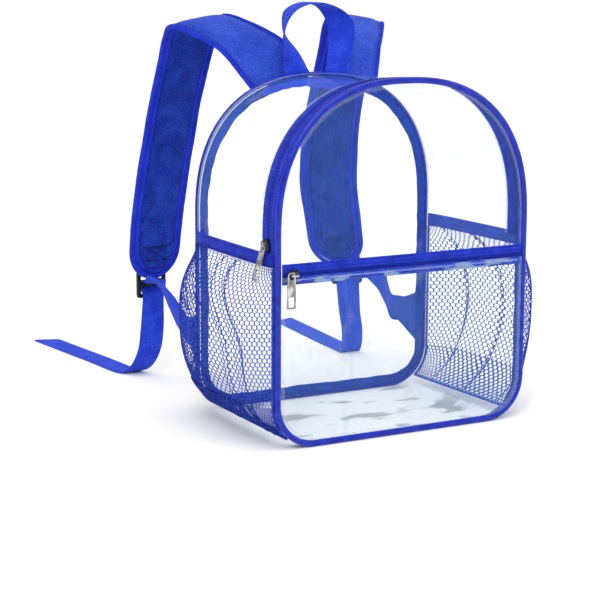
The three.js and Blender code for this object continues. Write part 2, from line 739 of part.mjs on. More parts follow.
function strapPath(side) {
  const root = backSeamHeight(STRAP_ROOT_X) - STRAP_ROOT_TUCK;
  const rows = STRAP_ROWS.map((row) => {
    const yaw = THREE.MathUtils.degToRad(row.yaw);
    const tilt = THREE.MathUtils.degToRad(row.tilt);
    return {
      at: V(
        side.sign * (STRAP_ROOT_X + STRAP_SPLAY * row[side.out]),
        strapRootY + STRAP_REACH * row.back,
        root + STRAP_RISE * row.rise - side.strapDrop * row.fall,
      ),
      across: V(side.sign * Math.cos(yaw) * Math.cos(tilt), Math.sin(yaw), -Math.sin(tilt)),
      wide: row.wide,
    };
  });
  const curve = new THREE.CatmullRomCurve3(rows.map((row) => row.at), false, 'centripetal');
  const samples = 400;
  const places = [];
  let length = 0;
  for (let i = 0; i <= samples; i++) {
    const t = i / samples;
    const spot = t * (rows.length - 1);
    const k = Math.min(rows.length - 2, Math.floor(spot));
    const at = curve.getPoint(t);
    if (i) length += at.distanceTo(places[i - 1].at);
    const across = rows[k].across.clone().lerp(rows[k + 1].across, spot - k).normalize();
    const wide = THREE.MathUtils.lerp(rows[k].wide, rows[k + 1].wide, spot - k);
    places.push({ at, across, wide, length });
  }
  return { places, length };
}

// The strap's own frame at a length from the seam
function strapFrame(path, length) {
  const { places } = path;
  let k = 1;
  while (k < places.length - 1 && places[k].length < length) k++;
  const [a, b] = [places[k - 1], places[k]];
  const share = THREE.MathUtils.clamp((length - a.length) / (b.length - a.length), 0, 1);
  const ahead = places[Math.min(places.length - 1, k + 4)].at;
  const behind = places[Math.max(0, k - 5)].at;
  const along = ahead.clone().sub(behind).normalize();
  const raw = a.across.clone().lerp(b.across, share);
  const normal = along.clone().cross(raw).normalize();
  if (normal.y < 0) normal.negate();
  if (length < path.length * 0.3 && normal.z < 0) normal.negate();
  return {
    at: a.at.clone().lerp(b.at, share),
    across: raw.normalize(),
    along,
    normal,
    wide: THREE.MathUtils.lerp(a.wide, b.wide, share),
  };
}

function strapPad(path) {
  const inset = STRAP_BINDING_WIDTH + GAP;
  const half = STRAP_WIDTH / 2 - inset;
  const end = STRAP_END_LENGTH - inset;
  const straight = path.length - STRAP_END_LENGTH;
  const stations = [];
  for (let i = 0; i <= STRAP_STEPS; i++) {
    stations.push({ length: (straight * i) / STRAP_STEPS, share: 1 });
  }
  for (let i = 1; i < STRAP_END_STEPS; i++) {
    const turn = (Math.PI / 2) * (i / STRAP_END_STEPS);
    stations.push({ length: straight + end * Math.sin(turn), share: Math.cos(turn) });
  }
  const profile = [-1, -0.7, 0, 0.7, 1];
  const front = [];
  const back = [];
  for (const { length, share } of stations) {
    const frame = strapFrame(path, length);
    const swell = Math.min(1, length / (STRAP_WIDTH / 2));
    const thickness = STRAP_ROOT_THICKNESS + (STRAP_THICKNESS - STRAP_ROOT_THICKNESS) * swell * share ** 0.5;
    const row = (face) =>
      profile.map((u) => {
        const edge = STRAP_ROOT_THICKNESS + (thickness - STRAP_ROOT_THICKNESS) * (1 - u ** 4);
        return frame.at
          .clone()
          .addScaledVector(frame.across, u * half * share * frame.wide)
          .addScaledVector(frame.normal, (face * edge) / 2);
      });
    front.push(row(-1));
    back.push(row(1));
  }
  return sheet(front, back);
}

function strapBinding(path) {
  const half = STRAP_WIDTH / 2 - STRAP_BINDING_WIDTH / 2;
  const end = STRAP_END_LENGTH - STRAP_BINDING_WIDTH / 2;
  const straight = path.length - STRAP_END_LENGTH;
  const stations = [];
  for (let i = 0; i < STRAP_STEPS; i++) {
    stations.push({ length: (straight * i) / STRAP_STEPS, u: 1, outward: [0, 1] });
  }
  for (let i = 0; i <= 2 * STRAP_END_STEPS; i++) {
    const turn = (Math.PI / 2) * (1 - i / STRAP_END_STEPS);
    const outward = new THREE.Vector2(half * Math.cos(turn), end * Math.sin(turn)).normalize();
    stations.push({
      length: straight + end * Math.cos(turn),
      u: Math.sin(turn),
      outward: [outward.x, outward.y],
    });
  }
  for (let i = STRAP_STEPS - 1; i >= 0; i--) {
    stations.push({ length: (straight * i) / STRAP_STEPS, u: -1, outward: [0, -1] });
  }
  const rim = [[-1, -0.6], [0.3, -1], [1, 0], [0.3, 1], [-1, 0.6]];
  const sections = stations.map(({ length, u, outward }) => {
    const frame = strapFrame(path, length);
    const out = frame.along.clone().multiplyScalar(outward[0]).addScaledVector(frame.across, outward[1]);
    const spread = half + (frame.wide - 1) * (STRAP_WIDTH / 2 - STRAP_BINDING_WIDTH - GAP);
    const centre = frame.at.clone().addScaledVector(frame.across, u * spread);
    const thin = THREE.MathUtils.clamp(length / STRAP_WIDTH, 0, 1);
    const thickness = THREE.MathUtils.lerp(STRAP_ROOT_THICKNESS, STRAP_BINDING_THICKNESS, thin);
    return rim.map(([m, n]) =>
      centre
        .clone()
        .addScaledVector(out, (m * STRAP_BINDING_WIDTH) / 2)
        .addScaledVector(frame.normal, (n * thickness) / 2),
    );
  });
  return loft(sections);
}

// The ladder lock hangs behind the strap's tip, in a frame of its own
const lockHeight = 3 * LOCK_BAR + 2 * LOCK_SLOT;
const barPitch = LOCK_BAR + LOCK_SLOT;
const webOffset = LOCK_THICKNESS / 2 + GAP + WEB_THICKNESS / 2;

function lockFrame(side, path) {
  const tip = strapFrame(path, path.length);
  const setback = STRAP_THICKNESS / 2 + webOffset + WEB_THICKNESS / 2 + GAP;
  const up = V(0, 0, 1);
  const across = tip.across.clone().setZ(0).normalize();
  const back = across.clone().cross(up).multiplyScalar(-side.sign).normalize();
  const at = tip.at
    .clone()
    .addScaledVector(across, side.lockShift)
    .addScaledVector(back, setback)
    .addScaledVector(up, -LOCK_DROP);
  const place = (x, y, z) =>
    at.clone().addScaledVector(across, x).addScaledVector(back, y).addScaledVector(up, z);
  return { at, across, back, up, place };
}

function ladderLock(frame) {
  const inner = WEB_WIDTH / 2 + 2 * GAP;
  const half = inner + LOCK_RAIL;
  const slot = (middle) => rectangle(-inner, middle - LOCK_SLOT / 2, inner, middle + LOCK_SLOT / 2);
  const outline = rectangle(-half, -lockHeight / 2, half, lockHeight / 2);
  const slots = [slot(-barPitch / 2), slot(barPitch / 2)];
  const geometry = plate(outline, -LOCK_THICKNESS / 2, LOCK_THICKNESS, slots);
  const turn = new THREE.Matrix4().makeBasis(frame.across, frame.back, frame.up).setPosition(frame.at);
  geometry.applyMatrix4(turn);
  return closed(geometry);
}

// Webbing that turns round a bar of the lock, keeping its clearance at the corners
const barHalf = LOCK_BAR / 2;
const barClear = WEB_THICKNESS / 2 + GAP;
function turnPoints(yFace, zFace) {
  const y = yFace * (LOCK_THICKNESS / 2);
  const z = zFace * barHalf;
  return [
    [y + yFace * barClear, z + zFace * barClear * 0.46],
    [y + yFace * barClear * 0.46, z + zFace * barClear],
  ];
}

// The loop that holds the lock: down the strap's rear face, under the top bar and up behind it
function lockLoop(frame) {
  const rows = [
    [-webOffset, barPitch + LOCK_LOOP_LENGTH],
    [-webOffset, barPitch + LOCK_LOOP_LENGTH * 0.5],
    ...[...turnPoints(-1, -1), ...turnPoints(1, -1).reverse()].map(([y, z]) => [y, z + barPitch]),
    [webOffset, barPitch + LOCK_BAR * 0.7],
    [-webOffset + WEB_THICKNESS + GAP, barPitch + LOCK_BAR * 2.4],
    [-webOffset + WEB_THICKNESS + GAP, barPitch + LOCK_LOOP_LENGTH],
  ];
  const places = rows.map(([y, z]) => ({ at: frame.place(0, y, z), across: frame.across.clone() }));
  return ribbon(places, WEB_WIDTH, WEB_THICKNESS);
}

// The anchor tab: a triangle sewn to the back seam, pointing backwards
const tabTurn = THREE.MathUtils.degToRad(TAB_TURN);
function tabFrame(side) {
  const { half: seam } = frameAt(0, BACK_Y);
  const out = V(-side.sign * Math.sin(tabTurn), Math.cos(tabTurn), 0);
  const face = V(side.sign * Math.cos(tabTurn), Math.sin(tabTurn), 0);
  const at = V(
    side.sign * (seam - BACK_PIPING_RADIUS - TAB_THICKNESS / 2),
    BACK_Y + BACK_PIPING_RADIUS + GAP + TAB_THICKNESS * Math.sin(tabTurn),
    TAB_HEIGHT,
  );
  const place = (reach, lift, up) =>
    at.clone().addScaledVector(out, reach).addScaledVector(face, lift).setZ(up);
  return { place, out };
}

function anchorTab(side) {
  const { place } = tabFrame(side);
  const face = (lift) => [
    [place(0, lift, TAB_HEIGHT - TAB_BASE / 2), place(0, lift, TAB_HEIGHT + TAB_BASE / 2)],
    [
      place(TAB_REACH, lift, TAB_HEIGHT + TAB_RISE - TAB_END / 2),
      place(TAB_REACH, lift, TAB_HEIGHT + TAB_RISE + TAB_END / 2),
    ],
  ];
  return sheet(face(-TAB_THICKNESS / 2), face(TAB_THICKNESS / 2));
}

// The adjusting webbing: off the tab, past the strap's tip, round the lock's middle bar, down to the floor.
// share runs from the tab to the lock; bow and lift are shares of that reach.
const LOAD_ROWS = [
  { share: 0.2, bow: 0.04, lift: 0.07, turn: 88 },
  { share: 0.42, bow: 0.09, lift: 0.15, turn: 70 },
  { share: 0.66, bow: 0.1, lift: 0.15, turn: 35 },
  { share: 0.84, bow: 0.05, lift: 0.06, turn: 8 },
];
// The free end: swing and the out columns are shares of its swing and drift, height of the lock's height.
const TAIL_ROWS = [
  { swing: 0.06, outLeft: 0.02, outRight: 0.1, height: 0.62 },
  { swing: 0.16, outLeft: 0.06, outRight: 0.23, height: 0.36 },
  { swing: 0.42, outLeft: 0.16, outRight: 0.3, height: 0.15 },
  { swing: 0.74, outLeft: 0.27, outRight: 0.33, height: 0.035 },
];
// Its lying stretch: along is a share of that length
const LYING_ROWS = [
  { along: 0, outLeft: 0.42, outRight: 0.37 },
  { along: 0.33, outLeft: 0.6, outRight: 0.56 },
  { along: 0.66, outLeft: 0.8, outRight: 0.78 },
  { along: 1, outLeft: 1, outRight: 1 },
];

function adjustWeb(side, frame) {
  const tab = tabFrame(side);
  const lift = TAB_THICKNESS / 2 + GAP + WEB_THICKNESS / 2;
  const tabHeight = TAB_HEIGHT + TAB_RISE;
  const upright = V(0, 0, 1);
  const rows = [0.25, 0.55, 0.85, 1.1].map((share) => ({
    at: tab.place(TAB_REACH * share, lift, tabHeight),
    across: upright,
  }));
  const start = rows[rows.length - 1].at;
  const crossing = barHalf + barClear;
  const end = frame.place(0, -webOffset - STRAP_THICKNESS * 0.6, crossing);
  const reach = start.distanceTo(end);
  for (const row of LOAD_ROWS) {
    const turn = THREE.MathUtils.degToRad(row.turn);
    const at = start.clone().lerp(end, row.share);
    at.x += side.sign * row.bow * reach;
    at.z += row.lift * reach;
    const across = frame.across.clone().multiplyScalar(Math.cos(turn));
    rows.push({ at, across: across.addScaledVector(upright, Math.sin(turn)) });
  }
  rows.push({ at: end, across: frame.across.clone() });
  const over = smoothPlaces(rows, 26);
  const wrap = [
    [-webOffset, crossing],
    ...turnPoints(1, 1).reverse(),
    ...turnPoints(1, -1),
    ...turnPoints(-1, 1).reverse().map(([y, z]) => [y, z - barPitch]),
    [-webOffset, -barPitch],
  ].map(([y, z]) => ({ at: frame.place(0, y, z), across: frame.across.clone() }));
  const foot = frame.place(0, -webOffset, -barPitch - LOCK_BAR);
  const floor = WEB_THICKNESS / 2;
  const tail = [{ at: foot, across: frame.across.clone() }];
  const flatAcross = V(side.sign, 0, 0);
  for (const row of TAIL_ROWS) {
    tail.push({
      at: V(
        foot.x + side.sign * TAIL_DRIFT * row[side.out],
        foot.y + side.tailSwing * row.swing,
        floor + (foot.z - floor) * row.height,
      ),
      across: flatAcross.clone(),
    });
  }
  for (const row of LYING_ROWS) {
    tail.push({
      at: V(
        foot.x + side.sign * TAIL_DRIFT * row[side.out],
        foot.y + side.tailSwing + TAIL_LYING * row.along,
        floor,
      ),
      across: flatAcross.clone(),
    });
  }
  const down = smoothPlaces(tail, 22);
  for (const place of down) place.at.z = Math.max(place.at.z, floor);
  return ribbon([...over, ...wrap, ...down], WEB_WIDTH, WEB_THICKNESS);
}

for (const side of SIDES) {
  piece(`net_${side.name}`, net(side), NET_FINISH());
  piece(`net_band_${side.name}`, netBand(side), TAPE_FINISH());
  const path = strapPath(side);
  piece(`strap_pad_${side.name}`, strapPad(path), PAD_FINISH());
  piece(`strap_binding_${side.name}`, strapBinding(path), TAPE_FINISH());
  const frame = lockFrame(side, path);
  piece(`ladder_lock_${side.name}`, ladderLock(frame), PLASTIC_FINISH());
  piece(`lock_loop_${side.name}`, lockLoop(frame), WEB_FINISH());
  piece(`anchor_tab_${side.name}`, anchorTab(side), TAPE_FINISH());
  piece(`adjust_web_${side.name}`, adjustWeb(side, frame), WEB_FINISH());
}

export default part;
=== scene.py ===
import math

import bmesh
import bpy
import numpy as np
from mathutils import Matrix, Vector, noise
from mathutils.geometry import tessellate_polygon


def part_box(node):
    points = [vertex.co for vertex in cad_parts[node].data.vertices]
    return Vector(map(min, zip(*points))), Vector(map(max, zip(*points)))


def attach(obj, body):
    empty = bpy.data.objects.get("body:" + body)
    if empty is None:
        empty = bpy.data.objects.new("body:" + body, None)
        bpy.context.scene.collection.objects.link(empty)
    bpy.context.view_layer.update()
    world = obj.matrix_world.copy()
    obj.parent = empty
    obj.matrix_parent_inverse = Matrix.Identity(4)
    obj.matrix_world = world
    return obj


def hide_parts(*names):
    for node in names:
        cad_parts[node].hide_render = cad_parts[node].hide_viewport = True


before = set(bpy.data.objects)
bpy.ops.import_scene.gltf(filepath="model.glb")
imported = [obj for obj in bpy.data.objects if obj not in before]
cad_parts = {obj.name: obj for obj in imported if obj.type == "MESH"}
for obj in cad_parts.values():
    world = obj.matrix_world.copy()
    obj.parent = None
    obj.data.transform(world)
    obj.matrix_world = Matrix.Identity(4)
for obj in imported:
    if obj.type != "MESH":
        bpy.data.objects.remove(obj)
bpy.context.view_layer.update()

# Sizes are in millimetres here and in metres in Blender
MM = 0.001


def extent(node):
    low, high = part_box(node)
    return np.array(low) / MM, np.array(high) / MM


# Camera at the photograph's angle
CAMERA_AT = (-812.72, -1344.80, 403.72)
CAMERA_HEADING = -29.50
CAMERA_DIP = 10.74
CAMERA_ROLL = 0.314
CAMERA_LENS = 103.16
CAMERA_SENSOR = 36


def set_camera():
    data = bpy.data.cameras.new("camera")
    data.lens = CAMERA_LENS
    data.sensor_width = CAMERA_SENSOR
    data.clip_end = 200
    camera = bpy.data.objects.new("camera", data)
    heading = Matrix.Rotation(math.radians(CAMERA_HEADING), 4, "Z")
    dip = Matrix.Rotation(math.radians(90 - CAMERA_DIP), 4, "X")
    roll = Matrix.Rotation(math.radians(CAMERA_ROLL), 4, "Z")
    camera.matrix_world = Matrix.Translation(Vector(CAMERA_AT) * MM) @ heading @ dip @ roll
    bpy.context.scene.collection.objects.link(camera)
    bpy.context.scene.camera = camera


set_camera()

# Bag body, measured over the piping
front_low, front_high = extent("front_piping")
back_low, back_high = extent("back_piping")
BAG_HALF = front_high[0]
BAG_TOP = front_high[2]
FRONT_Y = (front_low[1] + front_high[1]) / 2
BACK_Y = (back_low[1] + back_high[1]) / 2
FRONT_PIPING_RADIUS = (front_high[1] - front_low[1]) / 2
BACK_PIPING_RADIUS = (back_high[1] - back_low[1]) / 2
BACK_NARROWING = BAG_HALF - back_high[0]
BACK_DROP = BAG_TOP - back_high[2]
ARCH_SPRING = 182
ARCH_POWER = 2.36
CORNER_RADIUS = 39
ZIP_END = extent("main_zip_tape_front")[0][2]

# Film, bindings and zips
GAP = 0.3
FILM = 0.5
FILM_INSET = 1.2
PANEL_INSET = 2 * FRONT_PIPING_RADIUS + GAP
BACK_INSET = 2 * BACK_PIPING_RADIUS + GAP
BINDING_WAVE = 0.7
TAPE_THICKNESS = 1.0
ZIP_PITCH = 1.8
COIL_RISE = 2.0
COIL_SEAT = 1.1

# Webbing
WEB_WIDTH = 25
WEB_THICKNESS = 1.6
WEB_CURL = 0.12
HANDLE_RISE = 63
HANDLE_SPAN = 42
HANDLE_TUCK = 8
HANDLE_OFFSET = 2

# Shoulder straps
STRAP_WIDTH = 62
STRAP_THICKNESS = 7
STRAP_ROOT_THICKNESS = 3
STRAP_ROOT_X = 34
STRAP_ROOT_TUCK = 6
STRAP_SPLAY = 72
STRAP_REACH = 130
STRAP_RISE = 53
STRAP_END_LENGTH = 30
STRAP_RIM_WIDTH = 5
STRAP_RIM_THICKNESS = 4.4

# Ladder locks, tabs and the free ends of the webbing
LOCK_THICKNESS = 4.5
LOCK_RAIL = 3.6
LOCK_BAR = 4
LOCK_SLOT = 7.5
LOCK_LOOP_LENGTH = 34
LOCK_DROP = 6
TAB_BASE = 55
TAB_END = 13
TAB_REACH = 38
TAB_HEIGHT = 64
TAB_RISE = 5
TAB_TURN = 14
TAB_THICKNESS = 2
TAIL_LYING = 180
TAIL_DRIFT = 30

# Mesh side pockets
NET_FOOT = 9
NET_TOP = 156
NET_BAND_HEIGHT = 12
NET_BAND_THICKNESS = 1.6
NET_SLACK = 3
NET_STANDOFF = 1.2
NET_ROW_GROWTH = 1.2
NET_ROW = 3.55
NET_HOLE_WIDTH = 0.75
NET_HOLE_HEIGHT = 0.86
NET_YARN = 0.5
NET_EDGE_RADIUS = 1.2
NET_FOOT_LAYER = 0.24
NET_LIFT = 0.6
NET_FOOT_LIFT = 1.7
NET_EDGE_LIFT = 0.3

SIDES = [
    {"name": "left", "sign": -1, "out": 0, "bulge": 32, "drop": 251, "shift": -3, "setback": 34,
     "pleats": [(0.19, 8), (0.28, 6), (0.5, 6)], "drift": 60, "gather": 1.75, "cell": 8.4},
    {"name": "right", "sign": 1, "out": 1, "bulge": 31, "drop": 256, "shift": 10.5, "setback": 14,
     "pleats": [(0.22, 7), (0.48, 8), (0.74, 7)], "drift": 15, "gather": 1.0, "cell": 8.0},
]


# Meshes are gathered as points, faces and UVs in millimetres
class Shape:
    """Points, faces, UVs and finish numbers of one piece, all in millimetres."""

    def __init__(self):
        self.points = []
        self.count = 0
        self.faces = []
        self.uvs = []
        self.finishes = []

    def add_points(self, points):
        points = np.asarray(points, float).reshape(-1, 3)
        first = self.count
        self.points.append(points)
        self.count += len(points)
        return first

    def add_faces(self, faces, uvs, finish=0):
        self.faces.extend(faces)
        self.uvs.extend(uvs)
        self.finishes.extend(np.broadcast_to(np.ravel(finish), len(faces)).tolist())

    def grid(self, points, along, around, ring=False, loop=False, caps=False, finish=0):
        """Quads between rows of points; ring joins the last row to the first, loop the last column."""
        points = np.asarray(points, float)
        rows, columns = points.shape[:2]
        first = self.add_points(points)
        i, j = np.meshgrid(np.arange(rows if ring else rows - 1),
                           np.arange(columns if loop else columns - 1), indexing="ij")
        i2, j2 = (i + 1) % rows, (j + 1) % columns
        quads = np.stack([i * columns + j, i * columns + j2, i2 * columns + j2, i2 * columns + j], -1)
        along, around = np.asarray(along, float), np.asarray(around, float)
        u = np.stack([along[i], along[i], along[i + 1], along[i + 1]], -1)
        v = np.stack([around[j], around[j + 1], around[j + 1], around[j]], -1)
        self.add_faces((first + quads.reshape(-1, 4)).tolist(),
                       np.stack([u, v], -1).reshape(-1, 4, 2).tolist(), finish)
        if caps:
            for row in (0, rows - 1):
                self.add_faces([[first + row * columns + k for k in range(columns)]],
                               [[(along[row], around[k]) for k in range(columns)]], np.ravel(finish)[0])

    def sleeve(self, front, back, along, across, finish=0):
        """Two faces of a thin piece, joined at their edges and closed at both ends."""
        self.grid(np.concatenate([front, back[:, ::-1]], 1), along,
                  np.concatenate([across, across[::-1], across[:1]]), loop=True, caps=True, finish=finish)

    def piece(self, name, finishes, nodes=(), body="bag", sharp=50):
        mesh = bpy.data.meshes.new(name)
        mesh.from_pydata((np.vstack(self.points) * MM).tolist(), [], self.faces)
        layer = mesh.uv_layers.new(name="mm")
        layer.data.foreach_set("uv", np.concatenate([np.ravel(uv) for uv in self.uvs]))
        for finish in finishes:
            mesh.materials.append(finish)
        mesh.polygons.foreach_set("material_index", self.finishes)
        whole = bmesh.new()
        whole.from_mesh(mesh)
        bmesh.ops.remove_doubles(whole, verts=whole.verts, dist=1e-7)
        bmesh.ops.dissolve_degenerate(whole, edges=whole.edges, dist=1e-7)
        bmesh.ops.recalc_face_normals(whole, faces=whole.faces)
        for face in whole.faces:
            face.smooth = True
        whole.to_mesh(mesh)
        whole.free()
        mesh.set_sharp_from_angle(angle=math.radians(sharp))
        made = bpy.data.objects.new(name, mesh)
        bpy.context.scene.collection.objects.link(made)
        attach(made, body)
        if nodes:
            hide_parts(*nodes)
        return made


def unit(vectors):
    vectors = np.asarray(vectors, float)
    return vectors / np.maximum(np.linalg.norm(vectors, axis=-1, keepdims=True), 1e-12)


def lengths_of(points):
    return np.concatenate([[0], np.cumsum(np.linalg.norm(np.diff(points, axis=0), axis=1))])


def ripple(points, scale, seed=0.0):
    """Smooth noise between -1 and 1 at each point; scale is the size of a ripple in millimetres."""
    flat = np.asarray(points, float).reshape(-1, 3) / scale + seed
    values = [noise.noise(Vector(p)) for p in flat]
    return np.array(values).reshape(np.asarray(points).shape[:-1])


def catmull(points, marks):
    """Centripetal Catmull-Rom curve; marks run from 0 to the number of spans."""
    points = np.asarray(points, float)
    padded = np.vstack([2 * points[0] - points[1], points, 2 * points[-1] - points[-2]])
    k = np.minimum(marks.astype(int), len(points) - 2)
    w = (marks - k)[:, None]
    p0, p1, p2, p3 = (padded[k + i] for i in range(4))
    d0, d1, d2 = (np.linalg.norm(b - a, axis=1)[:, None] ** 0.5 for a, b in ((p0, p1), (p1, p2), (p2, p3)))
    t1 = d1 * ((p1 - p0) / d0 - (p2 - p0) / (d0 + d1) + (p2 - p1) / d1)
    t2 = d1 * ((p2 - p1) / d1 - (p3 - p1) / (d1 + d2) + (p3 - p2) / d2)
    return p1 + t1 * w + (3 * p2 - 3 * p1 - 2 * t1 - t2) * w**2 + (2 * p1 - 2 * p2 + t1 + t2) * w**3


def mixed(values, marks):
    """Rows of values, read in between their numbers."""
    values = np.asarray(values, float)
    k = np.minimum(marks.astype(int), len(values) - 2)
    w = (marks - k).reshape((-1,) + (1,) * (values.ndim - 1))
    return values[k] * (1 - w) + values[k + 1] * w


# Materials
def srgb(red, green, blue):
    """A linear colour from 0 to 255 display values."""
    def linear(value):
        value /= 255
        return value / 12.92 if value <= 0.04045 else ((value + 0.055) / 1.055) ** 2.4
    return (linear(red), linear(green), linear(blue), 1.0)


class Field:
    """A socket of a material's node tree. Arithmetic on it adds Math nodes."""

    def __init__(self, tree, socket=None):
        self.tree = tree
        self.socket = socket

    def node(self, kind, settings=(), sockets=(), output=0):
        node = self.tree.nodes.new(kind)
        for name, setting in dict(settings).items():
            if name == "stops":
                ramp = node.color_ramp.elements
                ramp[0].position, ramp[0].color = setting[0]
                ramp[1].position, ramp[1].color = setting[-1]
                for position, color in setting[1:-1]:
                    ramp.new(position).color = color
            else:
                setattr(node, name, setting)
        for name, given in dict(sockets).items():
            if isinstance(given, Field):
                self.tree.links.new(given.socket, node.inputs[name])
            else:
                node.inputs[name].default_value = given
        return Field(self.tree, node.outputs[output])

    def math(self, operation, *others):
        return self.node("ShaderNodeMath", {"operation": operation}, dict(enumerate((self, *others))))

    def __add__(self, other):
        return self.math("ADD", other)

    def __sub__(self, other):
        return self.math("SUBTRACT", other)

    def __rsub__(self, other):
        return self.math("MULTIPLY", -1.0).math("ADD", other)

    def __mul__(self, other):
        return self.math("MULTIPLY", other)

    __radd__ = __add__
    __rmul__ = __mul__


def wave(field, pitch, shift=0.0):
    """0 to 1 and back over one pitch."""
    return (field * (2 * math.pi / pitch) + shift).math("SINE") * 0.5 + 0.5


def between(mask, low, high):
    """0 below low, 1 above high, smooth in between."""
    return mask.node("ShaderNodeMapRange", {"interpolation_type": "SMOOTHSTEP"},
                     {"Value": mask, "From Min": low, "From Max": high})


def tinted(mask, dark, light):
    return mask.node("ShaderNodeMix", {"data_type": "RGBA"}, {0: mask, 6: dark, 7: light}, 2)


def bumped(height, distance):
    return height.node("ShaderNodeBump", {}, {"Height": height, "Distance": distance * MM})


class Surface:
    """What a material's recipe starts from: places in millimetres and ready noise."""

    def __init__(self, tree):
        self.tree = tree
        start = Field(tree)
        uv = start.node("ShaderNodeUVMap", {"uv_map": "mm"})
        self.along = start.node("ShaderNodeSeparateXYZ", {}, {0: uv}, 0)
        self.across = start.node("ShaderNodeSeparateXYZ", {}, {0: uv}, 1)
        place = start.node("ShaderNodeTexCoord", output="Object")
        self.place = start.node("ShaderNodeVectorMath", {"operation": "SCALE"}, {0: place, "Scale": 1 / MM})

    def clouds(self, size, detail=2.0, stretch=(1, 1, 1)):
        """Noise from 0 to 1 with patches about this many millimetres wide."""
        scaled = self.place.node("ShaderNodeVectorMath", {"operation": "MULTIPLY"},
                                 {0: self.place, 1: [1 / (size * s) for s in stretch]})
        return scaled.node("ShaderNodeTexNoise", {}, {"Vector": scaled, "Scale": 1.0, "Detail": detail})

    def principled(self, color, roughness, **sockets):
        named = {"Base Color": color, "Roughness": roughness}
        named.update({name.replace("_", " "): given for name, given in sockets.items()})
        return self.place.node("ShaderNodeBsdfPrincipled", {}, named)


def finish(name, recipe):
    material = bpy.data.materials.new(name)
    material.use_nodes = True
    tree = material.node_tree
    tree.nodes.clear()
    surface = recipe(Surface(tree))
    output = tree.nodes.new("ShaderNodeOutputMaterial")
    tree.links.new(surface.socket, output.inputs["Surface"])
    return material


def clear_film(veil=0.016, rim=0.15, rim_width=3.0, crease=0.04, crease_size=26, reflection_from=0.62,
               rim_and_reflection_tint=(0.52, 0.6, 0.61, 1), tone=(0.3, 0.6, 1, 1), stretch=(1, 1, 2)):
    """Clear film: a faint white veil, grey edges along the seams, and painted grey reflections over soft
    creases, whose strength crease sets.
    """
    def recipe(s):
        ragged = s.clouds(6, 3.0)
        edge = 1 - between(s.across + ragged * 3 - 1.5, rim_width * 0.5, rim_width)
        # Painted reflections: patches of grey colour laid where the creases would reflect something darker
        crease_reflections = between(s.clouds(crease_size, 3.0, stretch), reflection_from, reflection_from + 0.07)
        gloss = s.place.node("ShaderNodeFresnel", {}, {"IOR": 1.3})
        cover = edge * (ragged * 0.9 + 0.1) * rim + crease_reflections * crease + gloss * 0.06 + veil
        see_through = s.place.node("ShaderNodeBsdfTransparent", {}, {"Color": (0.997, 0.999, 1, 1)})
        # The skin's colour is the seams' grey edge tint or the painted crease reflection colour
        skin = tinted(edge.math("MAXIMUM", crease_reflections), tone, rim_and_reflection_tint)
        bump = bumped(s.clouds(crease_size, 3.0), 0.6)
        solid = s.principled(skin, 0.09, Specular_IOR_Level=0.4, Normal=bump)
        cover = cover.math("MINIMUM", 0.85)
        return s.place.node("ShaderNodeMixShader", {}, {0: cover, 1: see_through, 2: solid})
    return recipe


def glossy_vinyl(dark, light):
    def recipe(s):
        mottle = between(s.clouds(9, 3.0), 0.35, 0.65)
        grain = s.clouds(0.5, 2.0)
        return s.principled(tinted(mottle, dark, light), 0.2 + mottle * 0.08, Specular_IOR_Level=0.12,
                            Coat_Weight=0.4, Coat_Roughness=0.05, Normal=bumped(grain, 0.04))
    return recipe


def woven(dark, light, pitch, rib=0.0, roughness=0.8, relief=0.3, sheen=0.12, fade=14):
    """Woven cloth: threads both ways, with lengthwise ribs where rib is their pitch."""
    def recipe(s):
        fine = between(s.clouds(pitch * 1.1, 3.0), 0.3, 0.7)
        patches = between(s.clouds(fade, 3.0), 0.35, 0.65)
        if rib:
            ridge = wave(s.across, rib)
            picks = wave(s.along + ridge * (pitch * 0.5), pitch)
            height = ridge * 0.5 + picks * 0.5
        else:
            warp = wave(s.along, pitch)
            weft = wave(s.across, pitch)
            height = (warp - weft).math("ABSOLUTE") * 0.5 + fine * 0.5
        shade = height * 0.45 + patches * 0.3 + fine * 0.35 - 0.05
        return s.principled(tinted(shade.math("MINIMUM", 1.0), dark, light), roughness,
                            Specular_IOR_Level=0.15, Sheen_Weight=sheen, Sheen_Roughness=0.4,
                            Sheen_Tint=(0.4, 0.55, 1, 1), Normal=bumped(height, relief))
    return recipe


def felted(dark, light):
    """The strap's inner face: close nap with a soft mottled shade."""
    def recipe(s):
        nap = between(s.clouds(1.9, 4.0), 0.28, 0.72)
        patches = between(s.clouds(15, 4.0), 0.32, 0.68)
        shade = nap * 0.6 + patches * 0.4
        return s.principled(tinted(shade, dark, light), 0.95, Specular_IOR_Level=0.1, Sheen_Weight=0.12,
                            Sheen_Roughness=0.5, Sheen_Tint=(0.35, 0.5, 1, 1), Normal=bumped(nap, 0.35))
    return recipe


def twisted_yarn(dark, light, pitch=0.8):
    def recipe(s):
        twist = wave(s.along + s.across, pitch)
        patches = between(s.clouds(5, 2.0), 0.3, 0.7)
        return s.principled(tinted(twist * 0.4 + patches * 0.6, dark, light), 0.7, Specular_IOR_Level=0.2,
                            Normal=bumped(twist, 0.12))
    return recipe


def moulded_plastic(color, edge, roughness=0.36):
    def recipe(s):
        grain = s.clouds(0.6, 2.0)
        patches = s.clouds(12, 2.0)
        return s.principled(tinted(patches, color, edge), roughness + grain * 0.12, Specular_IOR_Level=0.25,
                            Normal=bumped(grain, 0.06))
    return recipe


def plated_metal(dark, light):
    def recipe(s):
        brushed = s.clouds(0.7, 3.0, (1, 1, 9))
        patches = between(s.clouds(11, 2.0), 0.35, 0.65)
        return s.principled(tinted(patches, dark, light), 0.16 + brushed * 0.12, Metallic=1.0,
                            Normal=bumped(brushed, 0.01))
    return recipe
